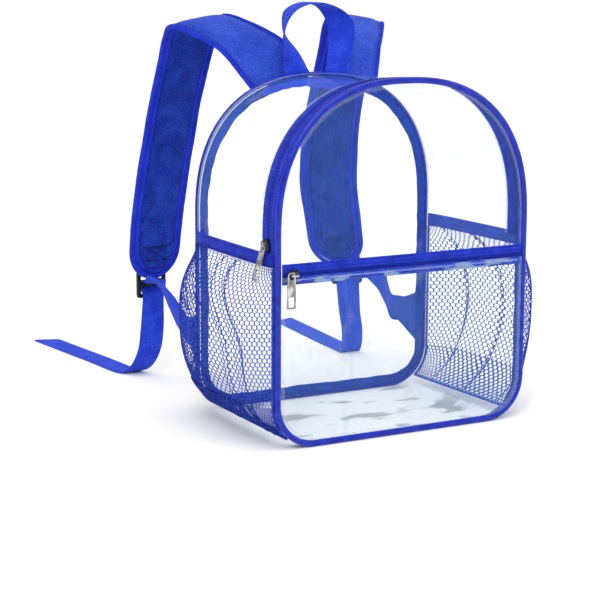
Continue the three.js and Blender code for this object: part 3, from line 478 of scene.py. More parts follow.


# The films below differ in how much painted crease reflection they carry
FILM_CLEAR = finish("clear_film", clear_film())
FILM_TOP = finish("clear_film_top", clear_film(rim=0.42, rim_width=4.5, crease=0.05, crease_size=34))
# The base carries the strongest painted reflections: grey swoops over the film
FILM_BASE = finish("clear_film_base", clear_film(rim=0.12, crease=0.26, crease_size=22, reflection_from=0.54,
                                                 rim_and_reflection_tint=(0.42, 0.42, 0.43, 1), tone=(0.9, 0.95, 1, 1),
                                                 stretch=(3, 1.3, 4)))
# On the hem the same painted crease reflections come out blue
FILM_HEM = finish("clear_film_hem", clear_film(rim=0.0, crease=0.5, crease_size=8, reflection_from=0.5,
                                               rim_and_reflection_tint=(0.3, 0.42, 0.62, 1), stretch=(2.5, 1, 0.8)))
VINYL = finish("blue_vinyl", glossy_vinyl(srgb(4, 28, 150), srgb(10, 40, 178)))
TAPE = finish("blue_tape", woven(srgb(8, 22, 140), srgb(40, 66, 212), 1.8, rib=1.9))
BINDING = finish("blue_binding", woven(srgb(8, 34, 130), srgb(34, 72, 186), 1.6))
TEETH = finish("blue_nylon", moulded_plastic(srgb(6, 20, 112), srgb(26, 48, 168), 0.45))
WEBBING = finish("blue_webbing", woven(srgb(14, 36, 170), srgb(46, 80, 226), 1.9, rib=2.0, relief=0.35))
PAD_FACE = finish("blue_pad_cloth", woven(srgb(22, 48, 156), srgb(54, 88, 206), 1.5, sheen=0.2, fade=22))
PAD_FELT = finish("blue_pad_felt", felted(srgb(10, 30, 118), srgb(34, 66, 178)))
RIM = finish("blue_rim", woven(srgb(14, 34, 168), srgb(34, 60, 212), 1.5, sheen=0.15))
YARN = finish("blue_yarn", twisted_yarn(srgb(18, 42, 148), srgb(48, 82, 206)))
# Thread much darker than the cloth: partly the thread's own blue, partly painted shade of the seam grooves
# the stitches lie in
THREAD_WITH_SEAM_SHADE = finish("blue_thread_seam_shade", twisted_yarn(srgb(4, 12, 78), srgb(18, 34, 132), 0.5))
PALE_THREAD = finish("pale_thread", twisted_yarn(srgb(120, 140, 230), srgb(205, 215, 250), 0.5))
PLASTIC = finish("black_plastic", moulded_plastic(srgb(6, 6, 8), srgb(16, 17, 19)))
METAL = finish("nickel", plated_metal(srgb(120, 119, 115), srgb(205, 205, 203)))
DARK_METAL = finish("gunmetal", plated_metal(srgb(48, 46, 40), srgb(92, 89, 80)))


# Outline of the bag
def frame_at(inset, y):
    share = (y - FRONT_Y) / (BACK_Y - FRONT_Y)
    return BAG_HALF - inset - BACK_NARROWING * share, BAG_TOP - inset - BACK_DROP * share


def outline(marks, inset=0.0, y=0.0, floor=None):
    """Points of the bag's outline. A mark runs from 0 to 1 over the arch, to 2 down the right side, to 3
    round its corner, to 4 along the base, to 5 round the left corner and to 6 up the left side."""
    floor = inset if floor is None else floor
    marks, inset, y, floor = np.broadcast_arrays(np.mod(marks, 6.0), inset, y, floor)
    half, top = frame_at(inset, y)
    radius = CORNER_RADIUS - inset
    section = marks.astype(int)
    share = marks - section
    arch = np.pi * (1 - share)
    corner = np.pi / 2 * share
    shoulder = floor + radius
    cos, sin = np.cos(arch), np.clip(np.sin(arch), 0, 1)
    x = np.choose(section, [
        half * np.sign(cos) * np.abs(cos) ** (2 / ARCH_POWER), half,
        half - radius + radius * np.cos(corner), (half - radius) * (1 - 2 * share),
        -(half - radius + radius * np.sin(corner)), -half])
    z = np.choose(section, [
        ARCH_SPRING + (top - ARCH_SPRING) * sin ** (2 / ARCH_POWER),
        ARCH_SPRING + (shoulder - ARCH_SPRING) * share,
        shoulder - radius * np.sin(corner), floor,
        shoulder - radius * np.cos(corner), shoulder + (ARCH_SPRING - shoulder) * share])
    return np.stack([x, y, z], -1)


def even_marks(start, end, step):
    """Marks spaced evenly along the outline, with their distances."""
    dense = np.linspace(start, end, 6000)
    length = lengths_of(outline(dense))
    at = np.linspace(0, length[-1], round(length[-1] / step) + 1)
    return np.interp(at, length, dense), at


def outward(marks, inset=0.0, y=0.0):
    step = 1e-3
    along = unit(outline(marks + step, inset, y) - outline(marks - step, inset, y))
    return np.stack([-along[..., 2], np.zeros_like(along[..., 0]), along[..., 0]], -1)


SIDE_SHARE = (ARCH_SPRING - ZIP_END) / (ARCH_SPRING - CORNER_RADIUS)
WHOLE = even_marks(0, 6, 2.0)
ARCH = even_marks(-SIDE_SHARE, 1 + SIDE_SHARE, 1.8)
LOWER = even_marks(1 + SIDE_SHARE, 6 - SIDE_SHARE, 2.5)


def back_seam_height(x):
    half, top = frame_at(0, BACK_Y)
    share = 1 - (abs(x) / half) ** ARCH_POWER
    return ARCH_SPRING + (top - ARCH_SPRING) * share ** (1 / ARCH_POWER)


def gusset_x(z, y):
    """The side film's outer face at a height and a depth."""
    half = frame_at(FILM_INSET, y)[0]
    radius = CORNER_RADIUS - FILM_INSET
    below = np.maximum(0, 1 - z / radius)
    return half - radius * (1 - np.sqrt(1 - below**2))


def stitch(shape, points, normals, pitch=3.2, reach=0.62, radius=0.32, finish=1):
    """A row of stitches along a line: spindles that lie on the surface."""
    points, normals = np.asarray(points, float), unit(normals)
    length = lengths_of(points)
    middles = np.arange(pitch / 2, length[-1] - pitch / 4, pitch)
    spot = np.interp(middles, length, np.arange(len(points)))
    at, up = mixed(points, spot), unit(mixed(normals, spot))
    ahead, behind = (mixed(points, np.clip(spot + d, 0, len(points) - 1)) for d in (0.3, -0.3))
    along = unit(ahead - behind)
    side = np.cross(along, up)
    half = pitch * reach / 2
    ends = [(-half, 0, -0.1), (half, 0, -0.1)]
    ring = [(s * half * 0.6, radius * y, radius * (z + 0.5)) for s in (-1, 1)
            for y, z in ((1, 0), (0, 1), (-1, 0), (0, -1))]
    local = np.array(ends + ring)
    places = (at[:, None] + local[None, :, 0:1] * along[:, None] + local[None, :, 1:2] * side[:, None]
              + local[None, :, 2:3] * up[:, None])
    first = shape.add_points(places)
    faces = []
    for k in range(4):
        n = (k + 1) % 4
        faces += [[0, 2 + k, 2 + n], [1, 6 + n, 6 + k], [2 + k, 6 + k, 6 + n, 2 + n]]
    for k in range(len(at)):
        base = first + k * len(local)
        moved = [[base + corner for corner in face] for face in faces]
        uvs = [[(middles[k] + local[c][0], local[c][1]) for c in face] for face in faces]
        shape.add_faces(moved, uvs, finish)


def outline_band(shape, marks, section, ring=False, floor_drop=0.0, around=None):
    """A band along the outline, from rows of (inset, y) round its section."""
    section = np.asarray(section, float)
    inset, y = section[..., 0], section[..., 1]
    if section.ndim == 2:
        inset, y = inset[None, :], y[None, :]
    at, length = marks
    floor = inset - floor_drop
    if ring:
        at = at[:-1]
    points = outline(at[:, None], inset, y, floor)
    if around is None:
        first = section.reshape(-1, section.shape[-2], 2)[0]
        around = lengths_of(np.vstack([first, first[:1]]))
    shape.grid(points, length, around, ring=ring, loop=True, caps=not ring)


def flat_section(inset, thickness, y0, y1, columns):
    """A thin section from y0 to y1, rounded at its edges: outer row, then inner row back."""
    y = np.linspace(y0, y1, columns)
    tuck = np.zeros(columns)
    tuck[0] = tuck[-1] = thickness * 0.3
    outer = np.stack([inset + tuck, y], -1)
    inner = np.stack([inset + thickness - tuck, y], -1)[::-1]
    return np.vstack([outer, inner])


def make_piping(name, node, radius, y):
    shape = Shape()
    turns = np.linspace(0, 2 * np.pi, 15)[:-1]
    section = np.stack([radius * (1 - np.cos(turns)), y + radius * np.sin(turns)], -1)
    outline_band(shape, WHOLE, section, ring=True)
    shape.piece(name, [VINYL], [node])


make_piping("piping_front", "front_piping", FRONT_PIPING_RADIUS, FRONT_Y)
make_piping("piping_back", "back_piping", BACK_PIPING_RADIUS, BACK_Y)


def wavy(length, seed):
    """A worn, uneven edge along a tape."""
    line = np.stack([length, np.zeros_like(length), np.full_like(length, seed)], -1)
    return ripple(line, 16) * BINDING_WAVE * 1.6 + ripple(line, 5) * BINDING_WAVE * 0.5


# Sections of the bindings: shares of their width and of their thickness
FRONT_BINDING_SECTION = [(0, 0.25), (0.04, 0), (0.5, 0.1), (0.96, 0), (1, 0.25), (1, 0.8), (0.5, 1), (0, 0.8)]
BACK_BINDING_SECTION = [(0, 0.8), (0, 0.2), (0.5, 0), (0.96, 0.1), (1, 0.3), (1, 0.7), (0.96, 0.9), (0.5, 1)]
FRONT_BINDING_THICKNESS = 1.1
BACK_BINDING_WIDTH = 8


def make_front_binding():
    low, high = extent("front_binding")
    inset = BAG_HALF - high[0]
    edge = wavy(WHOLE[1][:-1], 3.7)
    rows = []
    for share, lift in FRONT_BINDING_SECTION:
        y = low[1] + (high[1] - low[1] + edge) * share
        rows.append(np.stack([np.full_like(y, inset + FRONT_BINDING_THICKNESS * lift), y], -1))
    shape = Shape()
    outline_band(shape, WHOLE, np.stack(rows, 1), ring=True, floor_drop=FILM_INSET)
    shape.piece("binding_front", [BINDING], ["front_binding"])


def make_back_binding():
    low, high = extent("back_binding")
    edge = wavy(WHOLE[1][:-1], 9.1)
    rows = []
    for share, lift in BACK_BINDING_SECTION:
        reach = BACK_INSET + (BACK_BINDING_WIDTH + edge) * share
        rows.append(np.stack([reach, np.full_like(reach, low[1] + (high[1] - low[1]) * lift)], -1))
    shape = Shape()
    outline_band(shape, WHOLE, np.stack(rows, 1), ring=True)
    shape.piece("binding_back", [BINDING], ["back_binding"])


make_front_binding()
make_back_binding()


# Marks between which the film lies flat as the bag's base
BASE_MARKS = (2.7, 4.3)
FILM_COLUMNS = 26


def film_band(name, node, marks, inward, finishes, seed):
    """The film between the seams, sagging in a little and faintly creased."""
    at, length = marks
    y0, y1 = (corner[1] for corner in extent(node))
    y = np.linspace(y0, y1, FILM_COLUMNS)
    outer = outline(at[:, None], FILM_INSET, y[None, :], 0.0 if node == "gusset_lower" else FILM_INSET)
    share = (y - y0) / (y1 - y0)
    window = np.clip(np.sin(np.pi * share), 0, 1)[None, :] ** 0.6
    ends = np.clip(np.minimum(length, length[-1] - length) / 12, 0, 1)[:, None]
    sag = inward * 0.5 * (1 + ripple(outer, 45, seed)) + 0.25 * ripple(outer, 14, seed)
    sag = sag * window * ends
    normal = outward(at)[:, None]
    outer = outer - normal * np.maximum(sag, 0)[..., None]
    inner = outer - normal * FILM
    rim = np.minimum(y - y0, y1 - y)
    base = (at[1:] > BASE_MARKS[0]) & (at[1:] < BASE_MARKS[1])
    shape = Shape()
    shape.sleeve(outer, inner, length, rim, np.repeat(base[:, None], 2 * FILM_COLUMNS, 1).astype(int))
    shape.piece(name, finishes, [node])


film_band("film_top", "gusset_top", ARCH, 1.0, [FILM_TOP], 2.0)
film_band("film_sides", "gusset_lower", LOWER, 0.9, [FILM_CLEAR, FILM_BASE], 5.0)


# Shares of the way from a panel's middle to its rim
PANEL_RINGS = (0, 0.08, 0.16, 0.26, 0.36, 0.46, 0.56, 0.66, 0.75, 0.83, 0.9, 0.95, 0.98, 1)


def film_panel(name, node, inset, y, inward, sag, seed):
    """A film panel that fills the outline, in rings from its middle to its rim."""
    shape = Shape()
    at, length = WHOLE
    rim = outline(at[:-1], inset, y)
    middle = np.array([0, y, BAG_TOP * 0.48])
    rings = np.array(PANEL_RINGS)
    face = middle + (rim - middle)[:, None] * rings[None, :, None]
    window = (1 - rings**6)[None, :]
    depth = inward * window * sag * (0.5 + 0.5 * ripple(face, 60, seed) + 0.15 * ripple(face, 17, seed))
    front = face + np.stack([np.zeros_like(depth), depth, np.zeros_like(depth)], -1)
    back = front + np.array([0, FILM, 0])
    to_rim = (1 - rings) * BAG_HALF
    shape.grid(np.concatenate([front, back[:, ::-1]], 1), length,
               np.concatenate([to_rim, to_rim[::-1]]), ring=True)
    shape.piece(name, [FILM_CLEAR], [node])


film_panel("film_front", "front_panel", PANEL_INSET, FRONT_Y - 0.5, 1, 1.0, 11.0)
film_panel("film_back", "back_panel", BACK_INSET, BACK_Y - 0.2, -1, 0.6, 17.0)

# The pocket film hangs from the zip over the lower tape, with a hem along its top edge
POCKET_CROWN = 5
HEM_HEIGHT = 6.3
# Far enough from the seams that the film's rims don't show on the hem
HEM_DEPTH = 20.0
ZIGZAG_STEP = 2.2
ZIGZAG_RISE = 1.9


def make_pocket_film():
    low, high = extent("pocket_panel")
    film_y = high[1] - FILM
    foot, top = low[2], high[2]
    radius = CORNER_RADIUS - PANEL_INSET
    rise = np.linspace(0, 1, 40) ** 1.4
    z = foot + (top - foot) * rise
    below = np.maximum(0, 1 - (z - foot) / radius)
    half = frame_at(PANEL_INSET, FRONT_Y)[0] - radius * (1 - np.sqrt(1 - below**2))
    across = np.linspace(-1, 1, 60)
    bulge = np.maximum(0, np.sin(np.pi * rise**0.8)) ** 0.8
    crown = POCKET_CROWN * (1 - across[None, :] ** 4) * bulge[:, None]
    x = half[:, None] * across[None, :]
    z = np.broadcast_to(z[:, None], x.shape)
    front = np.stack([x, film_y - crown, z], -1)
    crease = ripple(front, 40, 23.0) * 0.5 * bulge[:, None] * (1 - across[None, :] ** 4)
    front[..., 1] += crease
    shape = Shape()
    shape.sleeve(front, front + [0, FILM, 0], z[:, 0], np.minimum((1 - np.abs(across)) * BAG_HALF, 99))
    hem_z = np.linspace(top - HEM_HEIGHT, top, 6)
    hem_x = np.linspace(-1, 1, 120) * (frame_at(PANEL_INSET, FRONT_Y)[0] - 1)
    hem = np.stack(np.meshgrid(hem_x, [0.0], hem_z, indexing="ij"), -1)[:, 0]
    hem[..., 1] = film_y - 1.1 + ripple(hem, 12, 31.0) * 0.25
    shape.sleeve(hem, hem + [0, FILM, 0], hem_x, np.full(6, HEM_DEPTH), 1)
    zigzag_x = np.arange(hem_x[0] + 4, hem_x[-1] - 4, ZIGZAG_STEP)
    zigzag_z = top - 1.2 - ZIGZAG_RISE * (np.arange(len(zigzag_x)) % 2)
    zigzag = np.stack([zigzag_x, np.full_like(zigzag_x, film_y - 1.3), zigzag_z], -1)
    stitch(shape, zigzag, np.tile([0.0, -1, 0], (len(zigzag), 1)), pitch=math.hypot(ZIGZAG_STEP, ZIGZAG_RISE),
           reach=0.9, radius=0.34, finish=2)
    shape.piece("film_pocket", [FILM_CLEAR, FILM_HEM, PALE_THREAD], ["pocket_panel"])


make_pocket_film()


# Zips
def coil_section(width, height, length):
    """Across the coil and its rise there: the teeth of one side lie between those of the other."""
    side = np.linspace(-1, 1, 9)
    crest = height * (0.55 + 0.45 * (1 - np.abs(side) ** 3)) - 0.25 * height * np.exp(-(side / 0.14) ** 2)
    phase = 2 * np.pi * length[:, None] / ZIP_PITCH + np.where(side > 0, np.pi, 0)[None, :]
    return side * width / 2, crest[None, :] * (0.66 + 0.34 * np.cos(phase))


def make_main_zip():
    coil_low, coil_high = extent("main_zip_coil")
    middle = (coil_low[1] + coil_high[1]) / 2
    for part, seams in (("front", (0.16, 0.8)), ("rear", (0.2, 0.84))):
        low, high = extent(f"main_zip_tape_{part}")
        y0, y1 = (low[1], middle) if part == "front" else (middle, high[1])
        shape = Shape()
        outline_band(shape, ARCH, flat_section(FILM_INSET, TAPE_THICKNESS, y0, y1, 7),
                     around=np.linspace(0, 2 * (y1 - y0), 15))
        for share in seams:
            line = outline(ARCH[0], FILM_INSET - 0.1, low[1] + (high[1] - low[1]) * share)
            stitch(shape, line, outward(ARCH[0]), pitch=3.0, radius=0.3)
        shape.piece(f"zip_tape_{part}", [TAPE, THREAD_WITH_SEAM_SHADE], [f"main_zip_tape_{part}"])
    marks, length = even_marks(-SIDE_SHARE, 1 + SIDE_SHARE, ZIP_PITCH / 4)
    offset, lift = coil_section(coil_high[1] - coil_low[1], COIL_RISE, length)
    base = FILM_INSET + COIL_SEAT
    outer = outline(marks[:, None], base - lift, middle + offset[None, :])
    inner = outline(marks[:, None], np.full_like(lift, base + 0.2), middle + offset[None, :])
    shape = Shape()
    shape.sleeve(outer, inner, length, offset)
    shape.piece("zip_teeth", [TEETH], ["main_zip_coil"])


def make_pocket_zip():
    coil_low, coil_high = extent("pocket_zip_coil")
    middle = (coil_low[2] + coil_high[2]) / 2
    for part, seams in (("upper", (0.45, 0.85)), ("lower", (0.25,))):
        low, high = extent(f"pocket_zip_tape_{part}")
        x = np.linspace(low[0], high[0], 140)
        z = np.linspace(middle, high[2], 6) if part == "upper" else np.linspace(low[2], middle, 6)
        face = np.stack(np.meshgrid(x, [low[1]], z, indexing="ij"), -1)[:, 0]
        face[..., 1] += 0.1 + 0.08 * ripple(face, 12, 41.0)
        rear = face.copy()
        rear[..., 1] = high[1]
        shape = Shape()
        v = z - z[0]
        shape.sleeve(face, rear, x, v)
        for share in seams:
            line = np.stack([x, np.full_like(x, low[1]), np.full_like(x, z[0] + v[-1] * share)], -1)
            stitch(shape, line, np.tile([0.0, -1, 0], (len(x), 1)), pitch=3.0, radius=0.28)
        shape.piece(f"pocket_tape_{part}", [TAPE, THREAD_WITH_SEAM_SHADE], [f"pocket_zip_tape_{part}"])
    x = np.arange(coil_low[0], coil_high[0], ZIP_PITCH / 4)
    offset, lift = coil_section(coil_high[2] - coil_low[2], coil_high[1] - coil_low[1] - 0.1, x)
    x_grid = np.broadcast_to(x[:, None], lift.shape)
    z_grid = np.broadcast_to(middle + offset[None, :], lift.shape)
    outer = np.stack([x_grid, coil_high[1] - lift, z_grid], -1)
    inner = np.stack([x_grid, np.full_like(lift, coil_high[1]), z_grid], -1)
    shape = Shape()
    shape.sleeve(outer, inner, x, offset)
    shape.piece("pocket_teeth", [TEETH], ["pocket_zip_coil"])


make_main_zip()
make_pocket_zip()


# Flat hardware is cut from outlines in X and Z, with rounded edges
def rounded(corners, radius, steps=4):
    corners = [np.array(c, float) for c in corners]
    points = []
    for k, corner in enumerate(corners):
        before, after = corners[k - 1], corners[(k + 1) % len(corners)]
        to_before, to_after = unit(before - corner), unit(after - corner)
        reach = min(radius, np.linalg.norm(before - corner) / 2.1, np.linalg.norm(after - corner) / 2.1)
        a, b = corner + to_before * reach, corner + to_after * reach
        for t in np.linspace(0, 1, steps + 1):
            points.append(a * (1 - t) ** 2 + 2 * corner * t * (1 - t) + b * t**2)
    return np.array(points)


def box_corners(x0, z0, x1, z1):
    return [(x0, z0), (x1, z0), (x1, z1), (x0, z1)]


def cut_plate(shape, outer, holes, thickness, bevel, turn, y=0.0):
    """A plate around y, its outer outline anticlockwise and its holes made clockwise here."""
    loops = [np.asarray(outer)] + [np.asarray(hole)[::-1] for hole in holes]
    levels = [(1, -1), (0.3, -1 + 0.6 * bevel / thickness), (0, -1 + 2 * bevel / thickness),
              (0, 1 - 2 * bevel / thickness), (0.3, 1 - 0.6 * bevel / thickness), (1, 1)]
    caps = [[], []]
    tops = []
    for loop in loops:
        ahead = unit(np.roll(loop, -1, 0) - np.roll(loop, 1, 0))
        inward = np.stack([-ahead[:, 1], ahead[:, 0]], -1)
        rows = []
        for share, level in levels:
            flat = loop + inward * bevel * share
            rows.append(np.stack([flat[:, 0], np.full(len(flat), y + level * thickness / 2), flat[:, 1]], -1))
        placed = np.array([[turn @ Vector(p) for p in row] for row in rows])
        first = shape.count
        u = np.arange(len(levels)) * bevel
        v = lengths_of(np.vstack([loop, loop[:1]]))
        shape.grid(placed, u, v, loop=True)
        tops.append([Vector((p[0], p[2], 0)) for p in rows[0]])
        caps[0].extend(range(first, first + len(loop)))
        last = first + (len(levels) - 1) * len(loop)
        caps[1].extend(range(last, last + len(loop)))
    flat = [p for top in tops for p in top]
    for triangle in tessellate_polygon(tops):
        for cap in caps:
            shape.add_faces([[cap[k] for k in triangle]], [[(flat[k].x, flat[k].y) for k in triangle]])


def tube(shape, points, radius, sides=10, finish=0, turn=Matrix()):
    """A round wire along a line."""
    points = np.array([turn @ Vector(p) for p in points])
    along = unit(np.gradient(points, axis=0))
    start = np.array([0.0, 0, 1]) if abs(along[0][2]) < 0.9 else np.array([1.0, 0, 0])
    side = unit(np.cross(along, start))
    up = np.cross(side, along)
    turns = np.linspace(0, 2 * np.pi, sides + 1)[:-1]
    ring = np.cos(turns)[None, :, None] * side[:, None] + np.sin(turns)[None, :, None] * up[:, None]
    around = np.linspace(0, 2 * np.pi * radius, sides + 1)
    shape.grid(points[:, None] + ring * radius, lengths_of(points), around, loop=True, caps=True,
               finish=finish)


# Zip hardware
SLIDER_LENGTH = 10
SLIDER_WIDTH = 8
SLIDER_THICKNESS = 3
SLIDER_PLATE = 1.2
SLIDER_FLANGE = SLIDER_THICKNESS - 0.9
BAIL_WIRE = 1.6
BAIL_TUNNEL = 2.6
PULL_LENGTH = 31
PULL_WIDTH = 8.6
PULL_THICKNESS = 1.3
PULL_EYE = 4.6
PULL_RIM = 1.5
PULL_LEAN = 16
SLIDER_RISE = 9
POCKET_SLIDER_INSET = 14.5
POST = SLIDER_LENGTH / 2 * 0.8 - BAIL_WIRE / 2
TUNNEL_DEPTH = SLIDER_THICKNESS + BAIL_TUNNEL / 2
PULL_LIFT = BAIL_WIRE * math.sqrt(0.5) + GAP + PULL_RIM / 2


def make_slider(name, node, turn):
    half, nose, side = SLIDER_LENGTH / 2, SLIDER_WIDTH * 0.3, SLIDER_WIDTH / 2
    shape = Shape()
    body = [(-half, -nose), (-half * 0.3, -side), (half, -side * 0.92), (half * 0.8, 0), (half, side * 0.92),
            (-half * 0.3, side), (-half, nose)]
    cut_plate(shape, rounded(body, 1.6), [], SLIDER_PLATE, 0.35, turn,
              y=-SLIDER_THICKNESS + SLIDER_PLATE / 2)
    for edge in (-1, 1):
        z0, z1 = sorted((edge * (side - 1.0), edge * side))
        flange = rounded(box_corners(-half * 0.3, z0, half * 0.98, z1), 0.4)
        cut_plate(shape, flange, [], SLIDER_FLANGE, 0.3, turn, y=-SLIDER_FLANGE / 2)
    cut_plate(shape, rounded(box_corners(-half, -nose * 0.8, -half * 0.35, nose * 0.8), 1.0), [],
              SLIDER_THICKNESS, 0.4, turn, y=-SLIDER_THICKNESS / 2)
    crest = SLIDER_THICKNESS + BAIL_TUNNEL + BAIL_WIRE / 2
    bend = np.linspace(0, np.pi / 2, 5)
    round_post = 1.5
    left = [(-POST, -SLIDER_THICKNESS * 0.6, 0)]
    for t in bend:
        left.append((-POST + round_post * (1 - math.cos(t)), -crest + round_post * (1 - math.sin(t)), 0))
    arch = left + [(-x, y, z) for x, y, z in left[::-1]]
    tube(shape, arch, BAIL_WIRE / 2, turn=turn, finish=1)
    shape.piece(name, [DARK_METAL, METAL], [node], sharp=40)


def make_pull(name, node, turn, body):
    half, top = PULL_WIDTH / 2, PULL_RIM / 2
    foot = top - PULL_LENGTH
    neck = half * 0.86
    outer = [(-half, foot), (half, foot), (neck, top - 2.4), (neck * 0.72, top), (-neck * 0.72, top),
             (-neck, top - 2.4)]
    eye_top = top - PULL_RIM
    eye = rounded(box_corners(-neck + PULL_RIM, eye_top - PULL_EYE, neck - PULL_RIM, eye_top), 1.3)
    window = rounded(box_corners(-half + PULL_RIM, foot + PULL_RIM, half - PULL_RIM,
                                 foot + PULL_RIM + PULL_WIDTH), 0.6)
    shape = Shape()
    cut_plate(shape, rounded(outer, 0.9), [eye, window], PULL_THICKNESS, 0.3, turn)
    shape.piece(name, [METAL], [node], body=body, sharp=40)


def make_hardware():
    coil_low, coil_high = extent("main_zip_coil")
    x = -(frame_at(FILM_INSET, coil_low[1])[0] + GAP)
    place = Vector((x, (coil_low[1] + coil_high[1]) / 2, ZIP_END + SLIDER_RISE))
    turn = Matrix.Rotation(-math.pi / 2, 4, "Z") @ Matrix.Rotation(math.pi / 2, 4, "Y")
    make_slider("zip_slider", "main_slider", Matrix.Translation(place) @ turn)
    hang = place + Vector((-TUNNEL_DEPTH, 0, PULL_LIFT - POST))
    lean = Matrix.Rotation(-math.pi / 2, 4, "Z") @ Matrix.Rotation(math.radians(-PULL_LEAN), 4, "X")
    make_pull("zip_pull", "main_pull", Matrix.Translation(hang) @ lean, "main_pull")
    teeth_low, teeth_high = extent("pocket_zip_coil")
    height = (teeth_low[2] + teeth_high[2]) / 2
    place = Vector((-BAG_HALF + POCKET_SLIDER_INSET, teeth_low[1] - GAP, height))
    make_slider("pocket_slider", "front_slider", Matrix.Translation(place))
    hang = place + Vector((-POST, -TUNNEL_DEPTH, PULL_LIFT))
    make_pull("pocket_pull", "front_pull", Matrix.Translation(hang), "front_pull")


make_hardware()


# The mesh pockets are knitted in hexagons, drawn in the cloth's own millimetres
def net_point(side, across, up, lift):
    net_low, net_high = extent(f"net_{side['name']}")
    z = NET_FOOT + (NET_TOP - NET_FOOT) * up**NET_ROW_GROWTH
    y = net_low[1] + (net_high[1] - net_low[1]) * across
    swell = 1 - np.abs(2 * up ** (1.31 * NET_ROW_GROWTH) - 1) ** 2.9
    fill = 1 - np.abs(2 * across - 1) ** 5
    slack = NET_SLACK * fill * up**4
    x = side["sign"] * (gusset_x(z, y) + NET_STANDOFF + lift + side["bulge"] * swell * fill + slack)
    return np.stack([x, y, z], -1)


class NetCloth:
    """Where a point of the flat net lies once it is gathered and pleated into its pocket."""

    def __init__(self, side):
        self.side = side
        share = np.linspace(0, 1, 800)
        middle = np.full_like(share, 0.55)
        girth_points = net_point(side, share, middle, NET_LIFT)
        self.girth = lengths_of(girth_points)[-1]
        steps = np.abs(np.diff(girth_points, axis=0)) @ [side["gather"], 1, 0]
        self.across_length = np.concatenate([[0], np.cumsum(steps)])
        self.up_length = lengths_of(net_point(side, np.full_like(share, 0.5), share, NET_LIFT))
        self.share = share
        girth = self.across_length[-1]
        beyond = 300
        cloth, over, layer = [-beyond], [-beyond], [0.0]
        for place, width in side["pleats"]:
            at = place * girth
            for spot, height in ((at + width / 2, 0.7), (at - width / 2, 1.6), (at + width / 2, 2.2),
                                 (at + width * 1.6, 0)):
                cloth.append(cloth[-1] + abs(spot - over[-1]))
                over.append(spot)
                layer.append(height)
        cloth.append(cloth[-1] + girth + beyond - over[-1])
        over.append(girth + beyond)
        layer.append(0)
        self.cloth, self.over, self.layer = map(np.array, (cloth, over, layer))
        self.width = cloth[-1] - beyond
        self.height = self.up_length[-1]

    def place(self, s, t, lift):
        rise = t / self.height
        hold = 0.55 + 0.45 * rise**0.8
        climb = np.clip((rise - 0.5) / 0.5, 0, 1)
        drift = self.side["drift"] * climb**2 * (3 - 2 * climb)
        folded = np.interp(s - drift, self.cloth, self.over) + drift
        plain = s * self.across_length[-1] / self.width
        girth = folded * hold + plain * (1 - hold)
        stack = np.interp(s - drift, self.cloth, self.layer) * hold
        across = np.interp(girth, self.across_length, self.share)
        up = np.interp(t, self.up_length, self.share)
        return net_point(self.side, across, up, lift + stack)


def knit(shape, cloth, top, shift, lift):
    """Hexagonal cells up to a height of cloth, with yarn round each hole."""
    columns = round(cloth.width / cloth.side["cell"])
    cell = cloth.width / columns
    rows = round(top / NET_ROW)
    tall = top / rows
    hexagon = [(0, 2 / 3), (0.5, 1 / 3), (0.5, -1 / 3), (0, -2 / 3), (-0.5, -1 / 3), (-0.5, 1 / 3)]
    known, flat, faces, edges = {}, [], [], {}

    def spot(s, t, level):
        s = min(max(s, 0), cloth.width)
        t = min(max(t, 0), top)
        key = (round(s, 3), round(t, 3), level)
        if key not in known:
            known[key] = len(flat)
            flat.append((s, t, lift + level * NET_YARN))
        return known[key]

    for row in range(rows + 1):
        odd = row % 2
        for column in range(columns + odd):
            s = (column + (0.0 if odd else 0.5)) * cell + shift
            t = row * tall
            rim = [(s + x * cell, t + z * tall) for x, z in hexagon]
            hole = [(s + x * cell * NET_HOLE_WIDTH, t + z * tall * NET_HOLE_HEIGHT) for x, z in hexagon]
            front, rear, inner = ([spot(x, z, level) for x, z in loop]
                                  for loop, level in ((rim, 1), (rim, -1), (hole, 0)))
            for k in range(6):
                n = (k + 1) % 6
                faces += [[front[k], front[n], inner[n], inner[k]], [rear[n], rear[k], inner[k], inner[n]]]
                wall = (front[k], front[n], rear[n], rear[k])
                edges.setdefault(frozenset(wall[:2]), []).append(wall)
    for found in edges.values():
        if len(found) == 1 and found[0][0] != found[0][1]:
            faces.append(list(found[0]))
    flat = np.array(flat)
    first = shape.add_points(cloth.place(flat[:, 0], flat[:, 1], flat[:, 2]))
    kept = [list(dict.fromkeys(face)) for face in faces if len(set(face)) > 2]
    uvs = [[tuple(flat[k][:2]) for k in face] for face in kept]
    shape.add_faces([[first + k for k in face] for face in kept], uvs)


def make_net(side):
    cloth = NetCloth(side)
    shape = Shape()
    knit(shape, cloth, cloth.height, 0, NET_LIFT)
    knit(shape, cloth, cloth.height * NET_FOOT_LAYER, side["cell"] * 0.3, NET_FOOT_LIFT)
    run = np.linspace(0, 1, 60)
    edge = np.concatenate([
        net_point(side, np.zeros(60), run[::-1], NET_EDGE_LIFT),
        net_point(side, run, np.zeros(60), NET_EDGE_LIFT)[1:],
        net_point(side, np.ones(60), run, NET_EDGE_LIFT)[1:]])
    tube(shape, edge, NET_EDGE_RADIUS, sides=8)
    net = shape.piece(f"mesh_pocket_{side['name']}", [YARN], [f"net_{side['name']}"], sharp=80)
    return net, cloth


# Section of a net's band: shares of its thickness and its height
BAND_SECTION = [(0, 0.15), (0, 0.55), (0, 0.9), (0.35, 1), (0.7, 1), (1, 0.9), (1, 0.55), (1, 0.12),
                (0.65, 0), (0.3, 0)]


